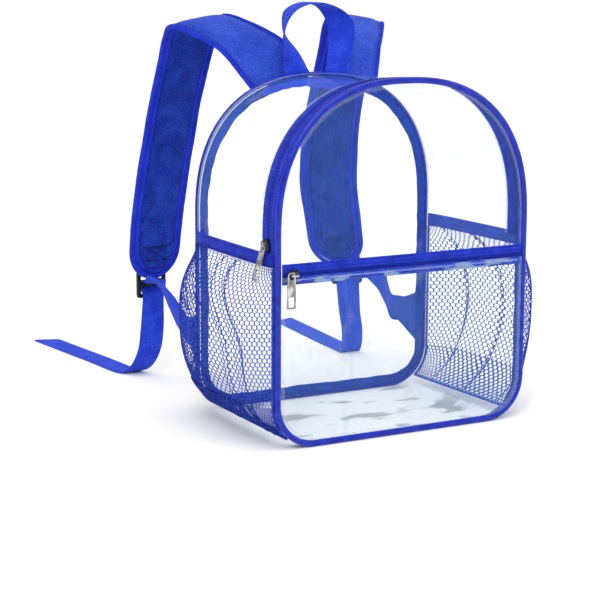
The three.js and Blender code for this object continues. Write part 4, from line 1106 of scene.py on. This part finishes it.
def make_net_band(side):
    low, high = extent(f"net_band_{side['name']}")
    columns = 80
    across = np.linspace(0, 1, columns)
    y = low[1] + (high[1] - low[1]) * across
    fill = 1 - np.abs(2 * across - 1) ** 5
    rows = []
    for out, up in BAND_SECTION:
        z = np.full(columns, low[2] + (high[2] - low[2]) * up)
        pucker = 0.35 * ripple(np.stack([y, z, y * 0], -1), 9, 3.3) * (1 - up) * fill
        x = gusset_x(z, y) + GAP + NET_SLACK * fill + NET_BAND_THICKNESS * out + pucker
        rows.append(np.stack([side["sign"] * x, y, z], -1))
    shape = Shape()
    v = np.array([up for _, up in BAND_SECTION + BAND_SECTION[:1]]) * NET_BAND_HEIGHT
    shape.grid(np.stack(rows, 1), y, v, loop=True, caps=True)
    normal = np.tile([side["sign"], 0.0, 0.0], (columns, 1))
    for up in (0.2, 0.84):
        z = low[2] + (high[2] - low[2]) * up
        x = gusset_x(np.full(columns, z), y) + GAP + NET_SLACK * fill + NET_BAND_THICKNESS
        stitch(shape, np.stack([side["sign"] * x, y, np.full(columns, z)], -1), normal, pitch=3.4)
    return shape.piece(f"pocket_band_{side['name']}", [TAPE, THREAD_WITH_SEAM_SHADE], [f"net_band_{side['name']}"])


def ribbon(shape, at, across, slant=0.0):
    """Webbing along a line of places, each with its own direction across."""
    across = unit(across)
    along = unit(np.gradient(at, axis=0))
    normal = unit(np.cross(along, across))
    share = np.linspace(-1, 1, 11)
    edge = np.where(np.abs(share) > 0.99, 0.45, 1.0)
    curl = WEB_CURL * ripple(at, 35, 2.2)
    flat = at[:, None] + across[:, None] * share[None, :, None] * WEB_WIDTH / 2
    flat[-1] += along[-1] * (share * slant)[:, None]
    lift = normal[:, None] * (edge * WEB_THICKNESS / 2)[None, :, None]
    bow = normal[:, None] * (curl[:, None] * (1 - share**2)[None, :])[..., None]
    shape.sleeve(flat + lift + bow, flat - lift + bow, lengths_of(at), share * WEB_WIDTH / 2)


# The handle: shares of its span and rise, its lean to the back and the turn of the webbing
HANDLE_ROWS = [
    # out, up, back, turn
    (-0.5, 0, 0, 0), (-0.54, 0.17, 0, 0), (-0.64, 0.36, 0, 26), (-0.8, 0.62, 0.02, 62),
    (-0.66, 0.88, 0.05, 84), (-0.2, 1, 0.07, 92), (0.3, 0.95, 0.06, 108), (0.62, 0.76, 0.04, 146),
    (0.64, 0.48, 0.02, 172), (0.54, 0.2, 0, 180), (0.46, 0, 0, 180),
]
HANDLE_Y = BACK_Y + BACK_PIPING_RADIUS + GAP + WEB_THICKNESS / 2


def make_handle():
    foot = back_seam_height(HANDLE_SPAN / 2) - HANDLE_TUCK
    rise = HANDLE_RISE + HANDLE_TUCK
    at = [(HANDLE_OFFSET + out * HANDLE_SPAN, HANDLE_Y + back * rise, foot + up * rise)
          for out, up, back, _ in HANDLE_ROWS]
    turns = np.radians([turn for *_, turn in HANDLE_ROWS])
    across = np.stack([np.cos(turns), np.sin(turns), np.zeros(len(turns))], -1)
    marks = np.linspace(0, len(at) - 1, 120)
    shape = Shape()
    ribbon(shape, catmull(at, marks), mixed(across, marks))
    shape.piece("carry_handle", [WEBBING], ["handle"])


make_handle()

# Shoulder straps: rise is a share of the height from seam to crest, fall of the drop from crest to tip
STRAP_ROWS = [
    # rise, fall, out on the left, out on the right, back, yaw, tilt, wide
    (0, 0, 0, 0.05, 0, 0, 11, 1.04), (0.57, 0, 0.24, 0.3, 0.15, 10, 5, 1.1),
    (0.87, 0, 0.5, 0.55, 0.35, 4, 7, 1.06), (1, 0, 0.7, 0.74, 0.54, -4, 9, 1.02),
    (1, 0.045, 0.7, 0.77, 0.65, -5, 7, 0.98),
    (1, 0.13, 0.7, 0.8, 0.74, -6, 4, 0.96), (1, 0.23, 0.72, 0.8, 0.82, -8, 2, 0.95),
    (1, 0.33, 0.72, 0.83, 0.92, -9, 0, 0.96), (1, 0.44, 0.74, 0.83, 0.98, -10, 0, 0.98),
    (1, 0.55, 0.8, 0.82, 1, -11, 0, 1), (1, 0.67, 0.87, 0.82, 1, -11, 0, 1),
    (1, 0.79, 0.93, 0.89, 1, -11, 0, 0.98), (1, 0.9, 0.965, 0.95, 1, -11, 0, 0.96),
    (1, 1, 0.99, 1.02, 1, -11, 0, 0.96),
]
STRAP_ROOT_Y = HANDLE_Y + WEB_THICKNESS / 2 + GAP + STRAP_ROOT_THICKNESS / 2
PAD_HALF = STRAP_WIDTH / 2 - STRAP_RIM_WIDTH - GAP
PAD_BORDER = 4.6
PAD_BORDER_U = 1 - PAD_BORDER / PAD_HALF
PAD_GROOVE = 0.6
PAD_END = STRAP_END_LENGTH - STRAP_RIM_WIDTH - GAP


class StrapPath:
    """The middle line of a strap, from the back seam over its crest to its tip."""

    def __init__(self, side):
        sign = side["sign"]
        root = back_seam_height(STRAP_ROOT_X) - STRAP_ROOT_TUCK
        rows = np.array(STRAP_ROWS)
        out, yaw, tilt = rows[:, 2 + side["out"]], np.radians(rows[:, 5]), np.radians(rows[:, 6])
        at = np.stack([
            sign * (STRAP_ROOT_X + STRAP_SPLAY * out),
            STRAP_ROOT_Y + STRAP_REACH * rows[:, 4],
            root + STRAP_RISE * rows[:, 0] - side["drop"] * rows[:, 1]], -1)
        across = np.stack([sign * np.cos(yaw) * np.cos(tilt), np.sin(yaw), -np.sin(tilt)], -1)
        marks = np.linspace(0, len(rows) - 1, 401)
        self.at = catmull(at, marks)
        self.across = unit(mixed(across, marks))
        self.wide = mixed(rows[:, 7], marks)
        self.lengths = lengths_of(self.at)
        self.length = self.lengths[-1]
        self.straight = self.length - STRAP_END_LENGTH
        self.seed = 4.0 + 3.0 * side["out"]

    def frame(self, length):
        """Places, directions across and along, faces' normals and width shares at these lengths."""
        length = np.atleast_1d(np.asarray(length, float))
        spot = np.interp(length, self.lengths, np.arange(len(self.lengths)))
        k = np.clip(np.searchsorted(self.lengths, length), 1, len(self.lengths) - 1)
        ahead = self.at[np.minimum(len(self.at) - 1, k + 4)]
        behind = self.at[np.maximum(0, k - 5)]
        along = unit(ahead - behind)
        across = unit(mixed(self.across, spot))
        normal = unit(np.cross(along, across))
        normal[normal[:, 1] < 0] *= -1
        normal[(length < self.length * 0.3) & (normal[:, 2] < 0)] *= -1
        return mixed(self.at, spot), across, along, normal, mixed(self.wide, spot)

    def tip_share(self, length):
        past = np.clip((np.asarray(length, float) - self.straight) / PAD_END, 0, 1)
        return np.sqrt(1 - past**2)

    def pad(self, length, u, face):
        """Points of the pad's face, +1 outer or -1 inner; u is -1 to 1 over the pad's width there."""
        at, across, _, normal, wide = self.frame(length)
        share = self.tip_share(length)
        swell = np.minimum(1, length / (STRAP_WIDTH / 2))
        thickness = STRAP_ROOT_THICKNESS + (STRAP_THICKNESS - STRAP_ROOT_THICKNESS) * swell * share**0.5
        u = np.asarray(u, float)
        crown = (1 - u**4)[None, :] if u.ndim == 1 else 1 - u**4
        edge = STRAP_ROOT_THICKNESS * 0.75 + (thickness - STRAP_ROOT_THICKNESS * 0.75)[:, None] * crown
        half = (PAD_HALF * share * wide)[:, None]
        points = at[:, None] + across[:, None] * (half * u)[..., None]
        rough = ripple(points, 26, self.seed + face) * 0.5 + ripple(points, 9, self.seed - face) * 0.22
        calm = np.clip(1 - u**6, 0, 1)
        groove = PAD_GROOVE * np.exp(-((np.abs(u) - PAD_BORDER_U) / 0.03) ** 2)
        lift = face * (edge / 2 - groove) + face * rough * calm * np.where(face > 0, 0.7, 1.0)
        return points + normal[:, None] * lift[..., None], normal

    def line(self, length, offset, face):
        """Points on the pad at given lengths and distances from its middle line, with normals."""
        length, offset = np.broadcast_arrays(np.asarray(length, float), np.asarray(offset, float))
        wide = self.frame(length)[4]
        u = offset / np.maximum(PAD_HALF * self.tip_share(length) * wide, 1e-6)
        points, normal = self.pad(length, np.clip(u, -1, 1)[:, None], face)
        return points[:, 0] + normal * face * 0.05, normal * face


# The felt ends in cut corners near the tip: distances from the tip and from the middle line
FELT_END = (11, 9)
FELT_CORNER = (27, 22)


def make_pad(side, path):
    turns = np.linspace(0, np.pi / 2, 30)[1:-1]
    stations = np.concatenate([np.linspace(0, path.straight, 170), path.straight + PAD_END * np.sin(turns)])
    border = np.array([*(PAD_BORDER_U + step for step in (-0.05, -0.02, 0, 0.03)), 0.9, 0.96, 1])
    u = np.concatenate([-border[::-1], np.linspace(-0.7, 0.7, 15), border])
    outer, _ = path.pad(stations, u, 1)
    inner, _ = path.pad(stations, u, -1)
    middle = (stations[1:] + stations[:-1]) / 2
    to_tip = (path.length - middle)[:, None]
    offset = (PAD_HALF * path.tip_share(middle))[:, None] * (np.abs(u[1:] + u[:-1]) / 2)[None, :]
    slope = (FELT_CORNER[1] - FELT_END[1]) / (FELT_CORNER[0] - FELT_END[0])
    inside = (np.abs(u[1:] + u[:-1]) / 2)[None, :] < PAD_BORDER_U
    felt = inside & (to_tip > FELT_END[0]) & (offset < FELT_END[1] + (to_tip - FELT_END[0]) * slope)
    shape = Shape()
    v = u * PAD_HALF
    shape.grid(outer, stations, v)
    shape.grid(inner, stations, v, finish=np.where(felt, 1, 3))
    for edge in (0, -1):
        shape.grid(np.stack([outer[:, edge], inner[:, edge]], 1), stations, [0, 1])
    for row in (0, -1):
        shape.grid(np.stack([outer[row], inner[row]], 0), [0, 1], v)
    run = np.linspace(4, path.length - FELT_CORNER[0], 160)
    for edge in (-1, 1):
        points, normals = path.line(run, edge * PAD_BORDER_U * PAD_HALF * path.frame(run)[4], -1)
        stitch(shape, points, normals, pitch=3.2, reach=0.8, radius=0.5, finish=2)
        run_out = np.linspace(4, path.straight, 160)
        points, normals = path.line(run_out, edge * (PAD_HALF * path.frame(run_out)[4] - 1.8), 1)
        stitch(shape, points, normals, pitch=3.3, finish=2)
    make_patch_stitches(shape, path)
    pad = shape.piece(f"shoulder_pad_{side['name']}", [PAD_FACE, PAD_FELT, THREAD_WITH_SEAM_SHADE, RIM],
                      [f"strap_pad_{side['name']}"], sharp=60)


# The square with a cross that holds the buckle's loop: distances from the tip and half its width
BOX_NEAR = 18.5
BOX_FAR = 31
BOX_HALF = 10.8


def make_patch_stitches(shape, path):
    """The sewn square, and on the inner face the cut corners of the felt and the patch's upper edge."""
    square = [(BOX_FAR, -BOX_HALF), (BOX_FAR, BOX_HALF), (BOX_NEAR, BOX_HALF), (BOX_NEAR, -BOX_HALF),
              (BOX_FAR, -BOX_HALF), (BOX_NEAR, BOX_HALF)]
    cross = [(BOX_NEAR, -BOX_HALF), (BOX_FAR, BOX_HALF)]
    corner, foot = FELT_CORNER, FELT_END
    rim = [(corner[0], 1.5 - corner[1]), (foot[0], -foot[1]), foot, (corner[0], corner[1] - 1.5)]
    patch = [(40, -21), (32.5, -15.5), (32.5, 15.5), (40, 21)]
    for run, faces in ((square, (-1, 1)), (cross, (-1, 1)), (rim, (-1,)), (patch, (-1,))):
        run = np.array(run, float)
        marks = np.linspace(0, len(run) - 1, 24 * (len(run) - 1) + 1)
        spots = mixed(run, marks)
        for face in faces:
            points, normals = path.line(path.length - spots[:, 0], spots[:, 1], face)
            stitch(shape, points, normals, pitch=2.4, reach=0.85, radius=0.55, finish=2)


# Section of the strap's rim: shares of half its width and half its thickness
RIM_SECTION = [(-1, -0.5), (-0.85, -0.72), (-0.4, -0.92), (0.2, -1), (0.7, -0.8), (0.95, -0.4), (1, 0),
               (0.95, 0.4), (0.7, 0.8), (0.2, 1), (-0.4, 0.92), (-0.85, 0.72), (-1, 0.5)]


def make_rim(side, path):
    half = STRAP_WIDTH / 2 - STRAP_RIM_WIDTH / 2
    end = STRAP_END_LENGTH - STRAP_RIM_WIDTH / 2
    down = np.linspace(0, path.straight, 150)[:-1]
    turn = np.linspace(np.pi / 2, -np.pi / 2, 41)
    length = np.concatenate([down, path.straight + end * np.cos(turn), down[::-1]])
    u = np.concatenate([np.ones(len(down)), np.sin(turn), -np.ones(len(down))])
    away = np.vstack([np.tile([0.0, 1.0], (len(down), 1)),
                      unit(np.stack([half * np.cos(turn), end * np.sin(turn)], -1)),
                      np.tile([0.0, -1.0], (len(down), 1))])
    at, across, along, normal, wide = path.frame(length)
    out = along * away[:, :1] + across * away[:, 1:]
    spread = half + (wide - 1) * PAD_HALF
    centre = at + across * (u * spread)[:, None]
    thin = np.clip(length / STRAP_WIDTH, 0, 1)
    thickness = STRAP_ROOT_THICKNESS + (STRAP_RIM_THICKNESS - STRAP_ROOT_THICKNESS) * thin
    pucker = 1 + 0.08 * ripple(centre, 7, 6.0) + 0.08 * ripple(centre, 20, 8.0)
    width = STRAP_RIM_WIDTH * pucker
    height = thickness * pucker
    points = np.stack([centre + out * (m * width / 2)[:, None] + normal * (n * height / 2)[:, None]
                       for m, n in RIM_SECTION], 1)
    around = lengths_of(np.array(RIM_SECTION) * [STRAP_RIM_WIDTH / 2, STRAP_RIM_THICKNESS / 2])
    shape = Shape()
    shape.grid(points, lengths_of(centre), np.append(around, around[-1] + 2), loop=True, caps=True)
    for face, column in ((-1, 2), (1, 10)):
        stitch(shape, points[:, column], normal * face, pitch=3.3)
    shape.piece(f"shoulder_rim_{side['name']}", [RIM, THREAD_WITH_SEAM_SHADE], [f"strap_binding_{side['name']}"],
                sharp=60)


# The ladder lock hangs behind the strap's tip
LOCK_INNER = WEB_WIDTH / 2 + 2 * GAP
LOCK_HALF = LOCK_INNER + LOCK_RAIL
LOCK_HEIGHT = 3 * LOCK_BAR + 2 * LOCK_SLOT
BAR_PITCH = LOCK_BAR + LOCK_SLOT
WEB_OFFSET = LOCK_THICKNESS / 2 + GAP + WEB_THICKNESS / 2
BAR_CLEAR = WEB_THICKNESS / 2 + GAP


def lock_frame(side, path):
    at, across, _, _, _ = path.frame(path.length)
    up = np.array([0.0, 0, 1])
    across = unit(across[0] * [1, 1, 0])
    back = unit(np.cross(across, up)) * -side["sign"]
    setback = STRAP_THICKNESS / 2 + WEB_OFFSET + WEB_THICKNESS / 2 + GAP
    place = at[0] + across * side["shift"] + back * setback - up * LOCK_DROP
    turn = Matrix.Translation(Vector(place)) @ Matrix(np.stack([across, back, up], 1)).to_4x4()
    return turn, across


def lock_places(turn, rows, x=0.0):
    return np.array([turn @ Vector((x, y, z)) for y, z in rows])


def turn_points(y_face, z_face):
    y, z = y_face * LOCK_THICKNESS / 2, z_face * LOCK_BAR / 2
    return [(y + y_face * BAR_CLEAR, z + z_face * BAR_CLEAR * 0.46),
            (y + y_face * BAR_CLEAR * 0.46, z + z_face * BAR_CLEAR)]


def make_lock(side, turn):
    shape = Shape()
    slots = [rounded(box_corners(-LOCK_INNER, z - LOCK_SLOT / 2, LOCK_INNER, z + LOCK_SLOT / 2), 1.0)
             for z in (-BAR_PITCH / 2, BAR_PITCH / 2)]
    outer = rounded(box_corners(-LOCK_HALF, -LOCK_HEIGHT / 2, LOCK_HALF, LOCK_HEIGHT / 2), 3.4, 6)
    cut_plate(shape, outer, slots, LOCK_THICKNESS, 1.1, turn)
    shape.piece(f"buckle_{side['name']}", [PLASTIC], [f"ladder_lock_{side['name']}"],
                sharp=40)


def refined(at, across, steps=4):
    marks = np.linspace(0, len(at) - 1, (len(at) - 1) * steps + 1)
    return catmull(at, marks), mixed(across, marks)


def make_loop(side, turn, across):
    near = -WEB_OFFSET + WEB_THICKNESS + GAP
    top = BAR_PITCH + LOCK_LOOP_LENGTH
    round_bar = [(y, z + BAR_PITCH) for y, z in turn_points(-1, -1) + turn_points(1, -1)[::-1]]
    rows = [(-WEB_OFFSET, top), (-WEB_OFFSET, BAR_PITCH + LOCK_LOOP_LENGTH * 0.5), *round_bar,
            (WEB_OFFSET, BAR_PITCH + LOCK_BAR * 0.7), (near, BAR_PITCH + LOCK_BAR * 2.4), (near, top)]
    at = lock_places(turn, rows)
    shape = Shape()
    ribbon(shape, *refined(at, np.tile(across, (len(at), 1))))
    shape.piece(f"buckle_loop_{side['name']}", [WEBBING], [f"lock_loop_{side['name']}"])


# The anchor tab: a folded triangle sewn to the back seam
def tab_place(side, reach, lift, up):
    turn = math.radians(TAB_TURN)
    sign = side["sign"]
    seam = frame_at(0, BACK_Y)[0]
    at = np.array([sign * (seam - BACK_PIPING_RADIUS - TAB_THICKNESS / 2),
                   BACK_Y + BACK_PIPING_RADIUS + GAP + TAB_THICKNESS * math.sin(turn), 0])
    out = np.array([-sign * math.sin(turn), math.cos(turn), 0])
    face = np.array([sign * math.cos(turn), math.sin(turn), 0])
    return at + out * reach + face * lift + np.array([0, 0, up])


def make_tab(side):
    shape = Shape()
    reaches = np.linspace(0, TAB_REACH, 14)
    heights = np.linspace(-1, 1, 11)
    faces = []
    for lift in (1, -1):
        rows = []
        for reach in reaches:
            share = reach / TAB_REACH
            half = (TAB_BASE * (1 - share) + TAB_END * share) / 2
            middle = TAB_HEIGHT + TAB_RISE * share
            puff = [0.75 + 0.25 * (1 - h**4) for h in heights]
            rows.append([tab_place(side, reach, lift * TAB_THICKNESS / 2 * p, middle + half * h)
                         for h, p in zip(heights, puff)])
        faces.append(np.array(rows))
    outer, inner = faces
    shape.sleeve(outer, inner, reaches, heights * TAB_BASE / 2)
    for face, lift in ((outer, 1), (inner, -1)):
        normal = np.tile(unit(tab_place(side, 0, lift, 0) - tab_place(side, 0, 0, 0)), (len(reaches), 1))
        for column in (1, 9):
            stitch(shape, face[1:-1, column], normal[1:-1], pitch=3.0)
        stitch(shape, face[2, 1:-1], normal[:9], pitch=3.0)
    shape.piece(f"anchor_{side['name']}", [PAD_FACE, THREAD_WITH_SEAM_SHADE], [f"anchor_tab_{side['name']}"])


# Shares of the tab's reach at which the webbing lies on it
ON_TAB = (0.25, 0.55, 0.85, 1.1)
# The webbing from the tab to the lock: shares of that reach, and the turn of the webbing
LOAD_ROWS = [(0.2, 0.04, 0.07, 88), (0.42, 0.09, 0.15, 70), (0.66, 0.1, 0.15, 35), (0.84, 0.05, 0.06, 8)]
# The free end: shares of its setback, its drift on the left and right, and the lock's height
TAIL_ROWS = [(0.06, 0.02, 0.1, 0.62), (0.16, 0.06, 0.23, 0.36), (0.42, 0.16, 0.3, 0.15),
             (0.74, 0.27, 0.33, 0.035)]
# Its lying stretch: shares of that length and of its drift on the left and right
LYING_ROWS = [(0, 0.42, 0.37), (0.33, 0.6, 0.56), (0.66, 0.8, 0.78), (1, 1, 1)]
TAIL_SLANT = 5


def make_adjuster(side, turn, across):
    sign, out = side["sign"], side["out"]
    upright = np.array([0.0, 0, 1])
    lift = TAB_THICKNESS / 2 + GAP + WEB_THICKNESS / 2
    at = [tab_place(side, TAB_REACH * share, lift, TAB_HEIGHT + TAB_RISE) for share in ON_TAB]
    turned = [upright] * len(ON_TAB)
    crossing = LOCK_BAR / 2 + BAR_CLEAR
    start, end = at[-1], np.array(turn @ Vector((0, -WEB_OFFSET - STRAP_THICKNESS * 0.6, crossing)))
    reach = np.linalg.norm(end - start)
    for share, bow, rise, degrees in LOAD_ROWS:
        at.append(start + (end - start) * share + np.array([sign * bow, 0, rise]) * reach)
        angle = math.radians(degrees)
        turned.append(across * math.cos(angle) + upright * math.sin(angle))
    at.append(end)
    turned.append(across)
    marks = np.linspace(0, len(at) - 1, 27)
    over, over_across = catmull(at, marks), unit(mixed(turned, marks))
    lower_bar = [(y, z - BAR_PITCH) for y, z in turn_points(-1, 1)[::-1]]
    wrap = [(-WEB_OFFSET, crossing), *turn_points(1, 1)[::-1], *turn_points(1, -1), *lower_bar,
            (-WEB_OFFSET, -BAR_PITCH)]
    round_bar = lock_places(turn, wrap)
    foot = np.array(turn @ Vector((0, -WEB_OFFSET, -BAR_PITCH - LOCK_BAR)))
    floor = WEB_THICKNESS / 2
    tail = [foot]
    for swing, left, right, height in TAIL_ROWS:
        drift = (left, right)[out]
        tail.append([foot[0] + sign * TAIL_DRIFT * drift, foot[1] + side["setback"] * swing,
                     floor + (foot[2] - floor) * height])
    lying = foot[1] + side["setback"]
    for run, left, right in LYING_ROWS:
        drift = (left, right)[out]
        tail.append([foot[0] + sign * TAIL_DRIFT * drift, lying + TAIL_LYING * run, floor])
    flat = [across] + [np.array([sign, 0.0, 0.0])] * (len(tail) - 1)
    marks = np.linspace(0, len(tail) - 1, 23)
    down, down_across = catmull(tail, marks), unit(mixed(flat, marks))
    down[:, 2] = np.maximum(down[:, 2], floor)
    line = np.vstack([over, round_bar, down])
    sides = np.vstack([over_across, np.tile(across, (len(round_bar), 1)), down_across])
    smooth, smooth_across = refined(line, sides)
    smooth[:, 2] = np.maximum(smooth[:, 2], floor)
    shape = Shape()
    ribbon(shape, smooth, smooth_across, slant=TAIL_SLANT)
    shape.piece(f"adjuster_{side['name']}", [WEBBING], [f"adjust_web_{side['name']}"])


# Share of a net's flat size that its yarn covers
NET_COVER = 0.42

for side in SIDES:
    band = make_net_band(side)
    net, cloth = make_net(side)
    cut = (cloth.girth * cloth.width / cloth.across_length[-1] * MM, cloth.height * (1 + NET_FOOT_LAYER) * MM)
    NET_COVER * cut[0] * cut[1]
    path = StrapPath(side)
    make_pad(side, path)
    make_rim(side, path)
    turn, across = lock_frame(side, path)
    make_lock(side, turn)
    make_loop(side, turn, across)
    make_tab(side)
    make_adjuster(side, turn, across)


# Cut ends of the handle and straps, sewn inside the back seam with a ragged lower edge
SEAM_ENDS_HALF = 66
SEAM_ENDS_TOP = 6
SEAM_ENDS_SECTION = [(0, 0.9), (0, 0), (0.5, 0.2), (1, 0), (1, 0.9), (0.5, 1.1)]


def make_seam_ends():
    at, length = even_marks(0.2, 0.8, 1.5)
    kept = np.abs(outline(at, 0, BACK_Y)[:, 0]) < SEAM_ENDS_HALF
    at, length = at[kept], length[kept]
    y = extent("back_binding")[0][1] - GAP
    share = (length - length[0]) / (length[-1] - length[0])
    window = np.clip(np.minimum(share, 1 - share) * 12, 0, 1)
    reach = 8 + (6 + wavy(length, 4.4) * 2.4 + 2.5 * np.sin(length / 17)) * window
    rows = []
    for share, lift in SEAM_ENDS_SECTION:
        inset = SEAM_ENDS_TOP + (reach - SEAM_ENDS_TOP) * share
        rows.append(np.stack([inset, y - 0.9 * lift - 0.6 * share * np.sin(length / 6) ** 2], -1))
    shape = Shape()
    outline_band(shape, (at, length), np.stack(rows, 1), around=np.arange(7) * 2.0)
    shape.piece("seam_ends", [WEBBING])


make_seam_ends()


# Floor, lights and picture settings
FLOOR_HALF = 60


def make_stage():
    mesh = bpy.data.meshes.new("floor")
    corners = [(x * FLOOR_HALF, y * FLOOR_HALF, 0) for x, y in ((-1, -1), (1, -1), (1, 1), (-1, 1))]
    mesh.from_pydata(corners, [], [(0, 1, 2, 3)])
    floor = bpy.data.objects.new("floor", mesh)
    bpy.context.scene.collection.objects.link(floor)

    def recipe(s):
        return s.principled((0.95, 0.94, 0.905, 1), 0.9, Specular_IOR_Level=0.1)
    mesh.uv_layers.new(name="mm")
    mesh.materials.append(finish("floor_white", recipe))


def make_light(name, place, target, size, power):
    data = bpy.data.lights.new(name, "AREA")
    data.shape = "RECTANGLE"
    data.size, data.size_y = size
    data.energy = power
    lamp = bpy.data.objects.new(name, data)
    lamp.location = place
    lamp.rotation_euler = (Vector(target) - Vector(place)).to_track_quat("-Z", "Y").to_euler()
    bpy.context.scene.collection.objects.link(lamp)


def make_lights():
    world = bpy.data.worlds.new("studio")
    world.use_nodes = True
    tree = world.node_tree
    start = Field(tree)
    direction = start.node("ShaderNodeTexCoord", output="Generated")
    height = start.node("ShaderNodeSeparateXYZ", {}, {0: direction}, 2)
    stops = [(at, (grey, grey, grey, 1)) for at, grey in ((0, 0.5), (0.3, 0.72), (0.6, 1), (1, 1))]
    sky = start.node("ShaderNodeValToRGB", {"stops": stops}, {0: height})
    tree.links.new(sky.socket, tree.nodes["Background"].inputs["Color"])
    bpy.context.scene.world = world
    sun = bpy.data.lights.new("sun", "SUN")
    sun.energy = 0.9
    sun.angle = math.radians(50)
    lamp = bpy.data.objects.new("sun", sun)
    lamp.rotation_euler = (math.radians(28), math.radians(-12), 0)
    bpy.context.scene.collection.objects.link(lamp)
    make_light("key", (-1.4, -1.7, 1.9), (0, 0, 0.15), (0.3, 1.6), 16)
    make_light("side", (1.9, -0.9, 1.1), (0, 0, 0.15), (0.2, 1.4), 7)


make_stage()
make_lights()
bpy.context.scene.view_settings.view_transform = "Standard"
bpy.context.scene.cycles.transparent_max_bounces = 48
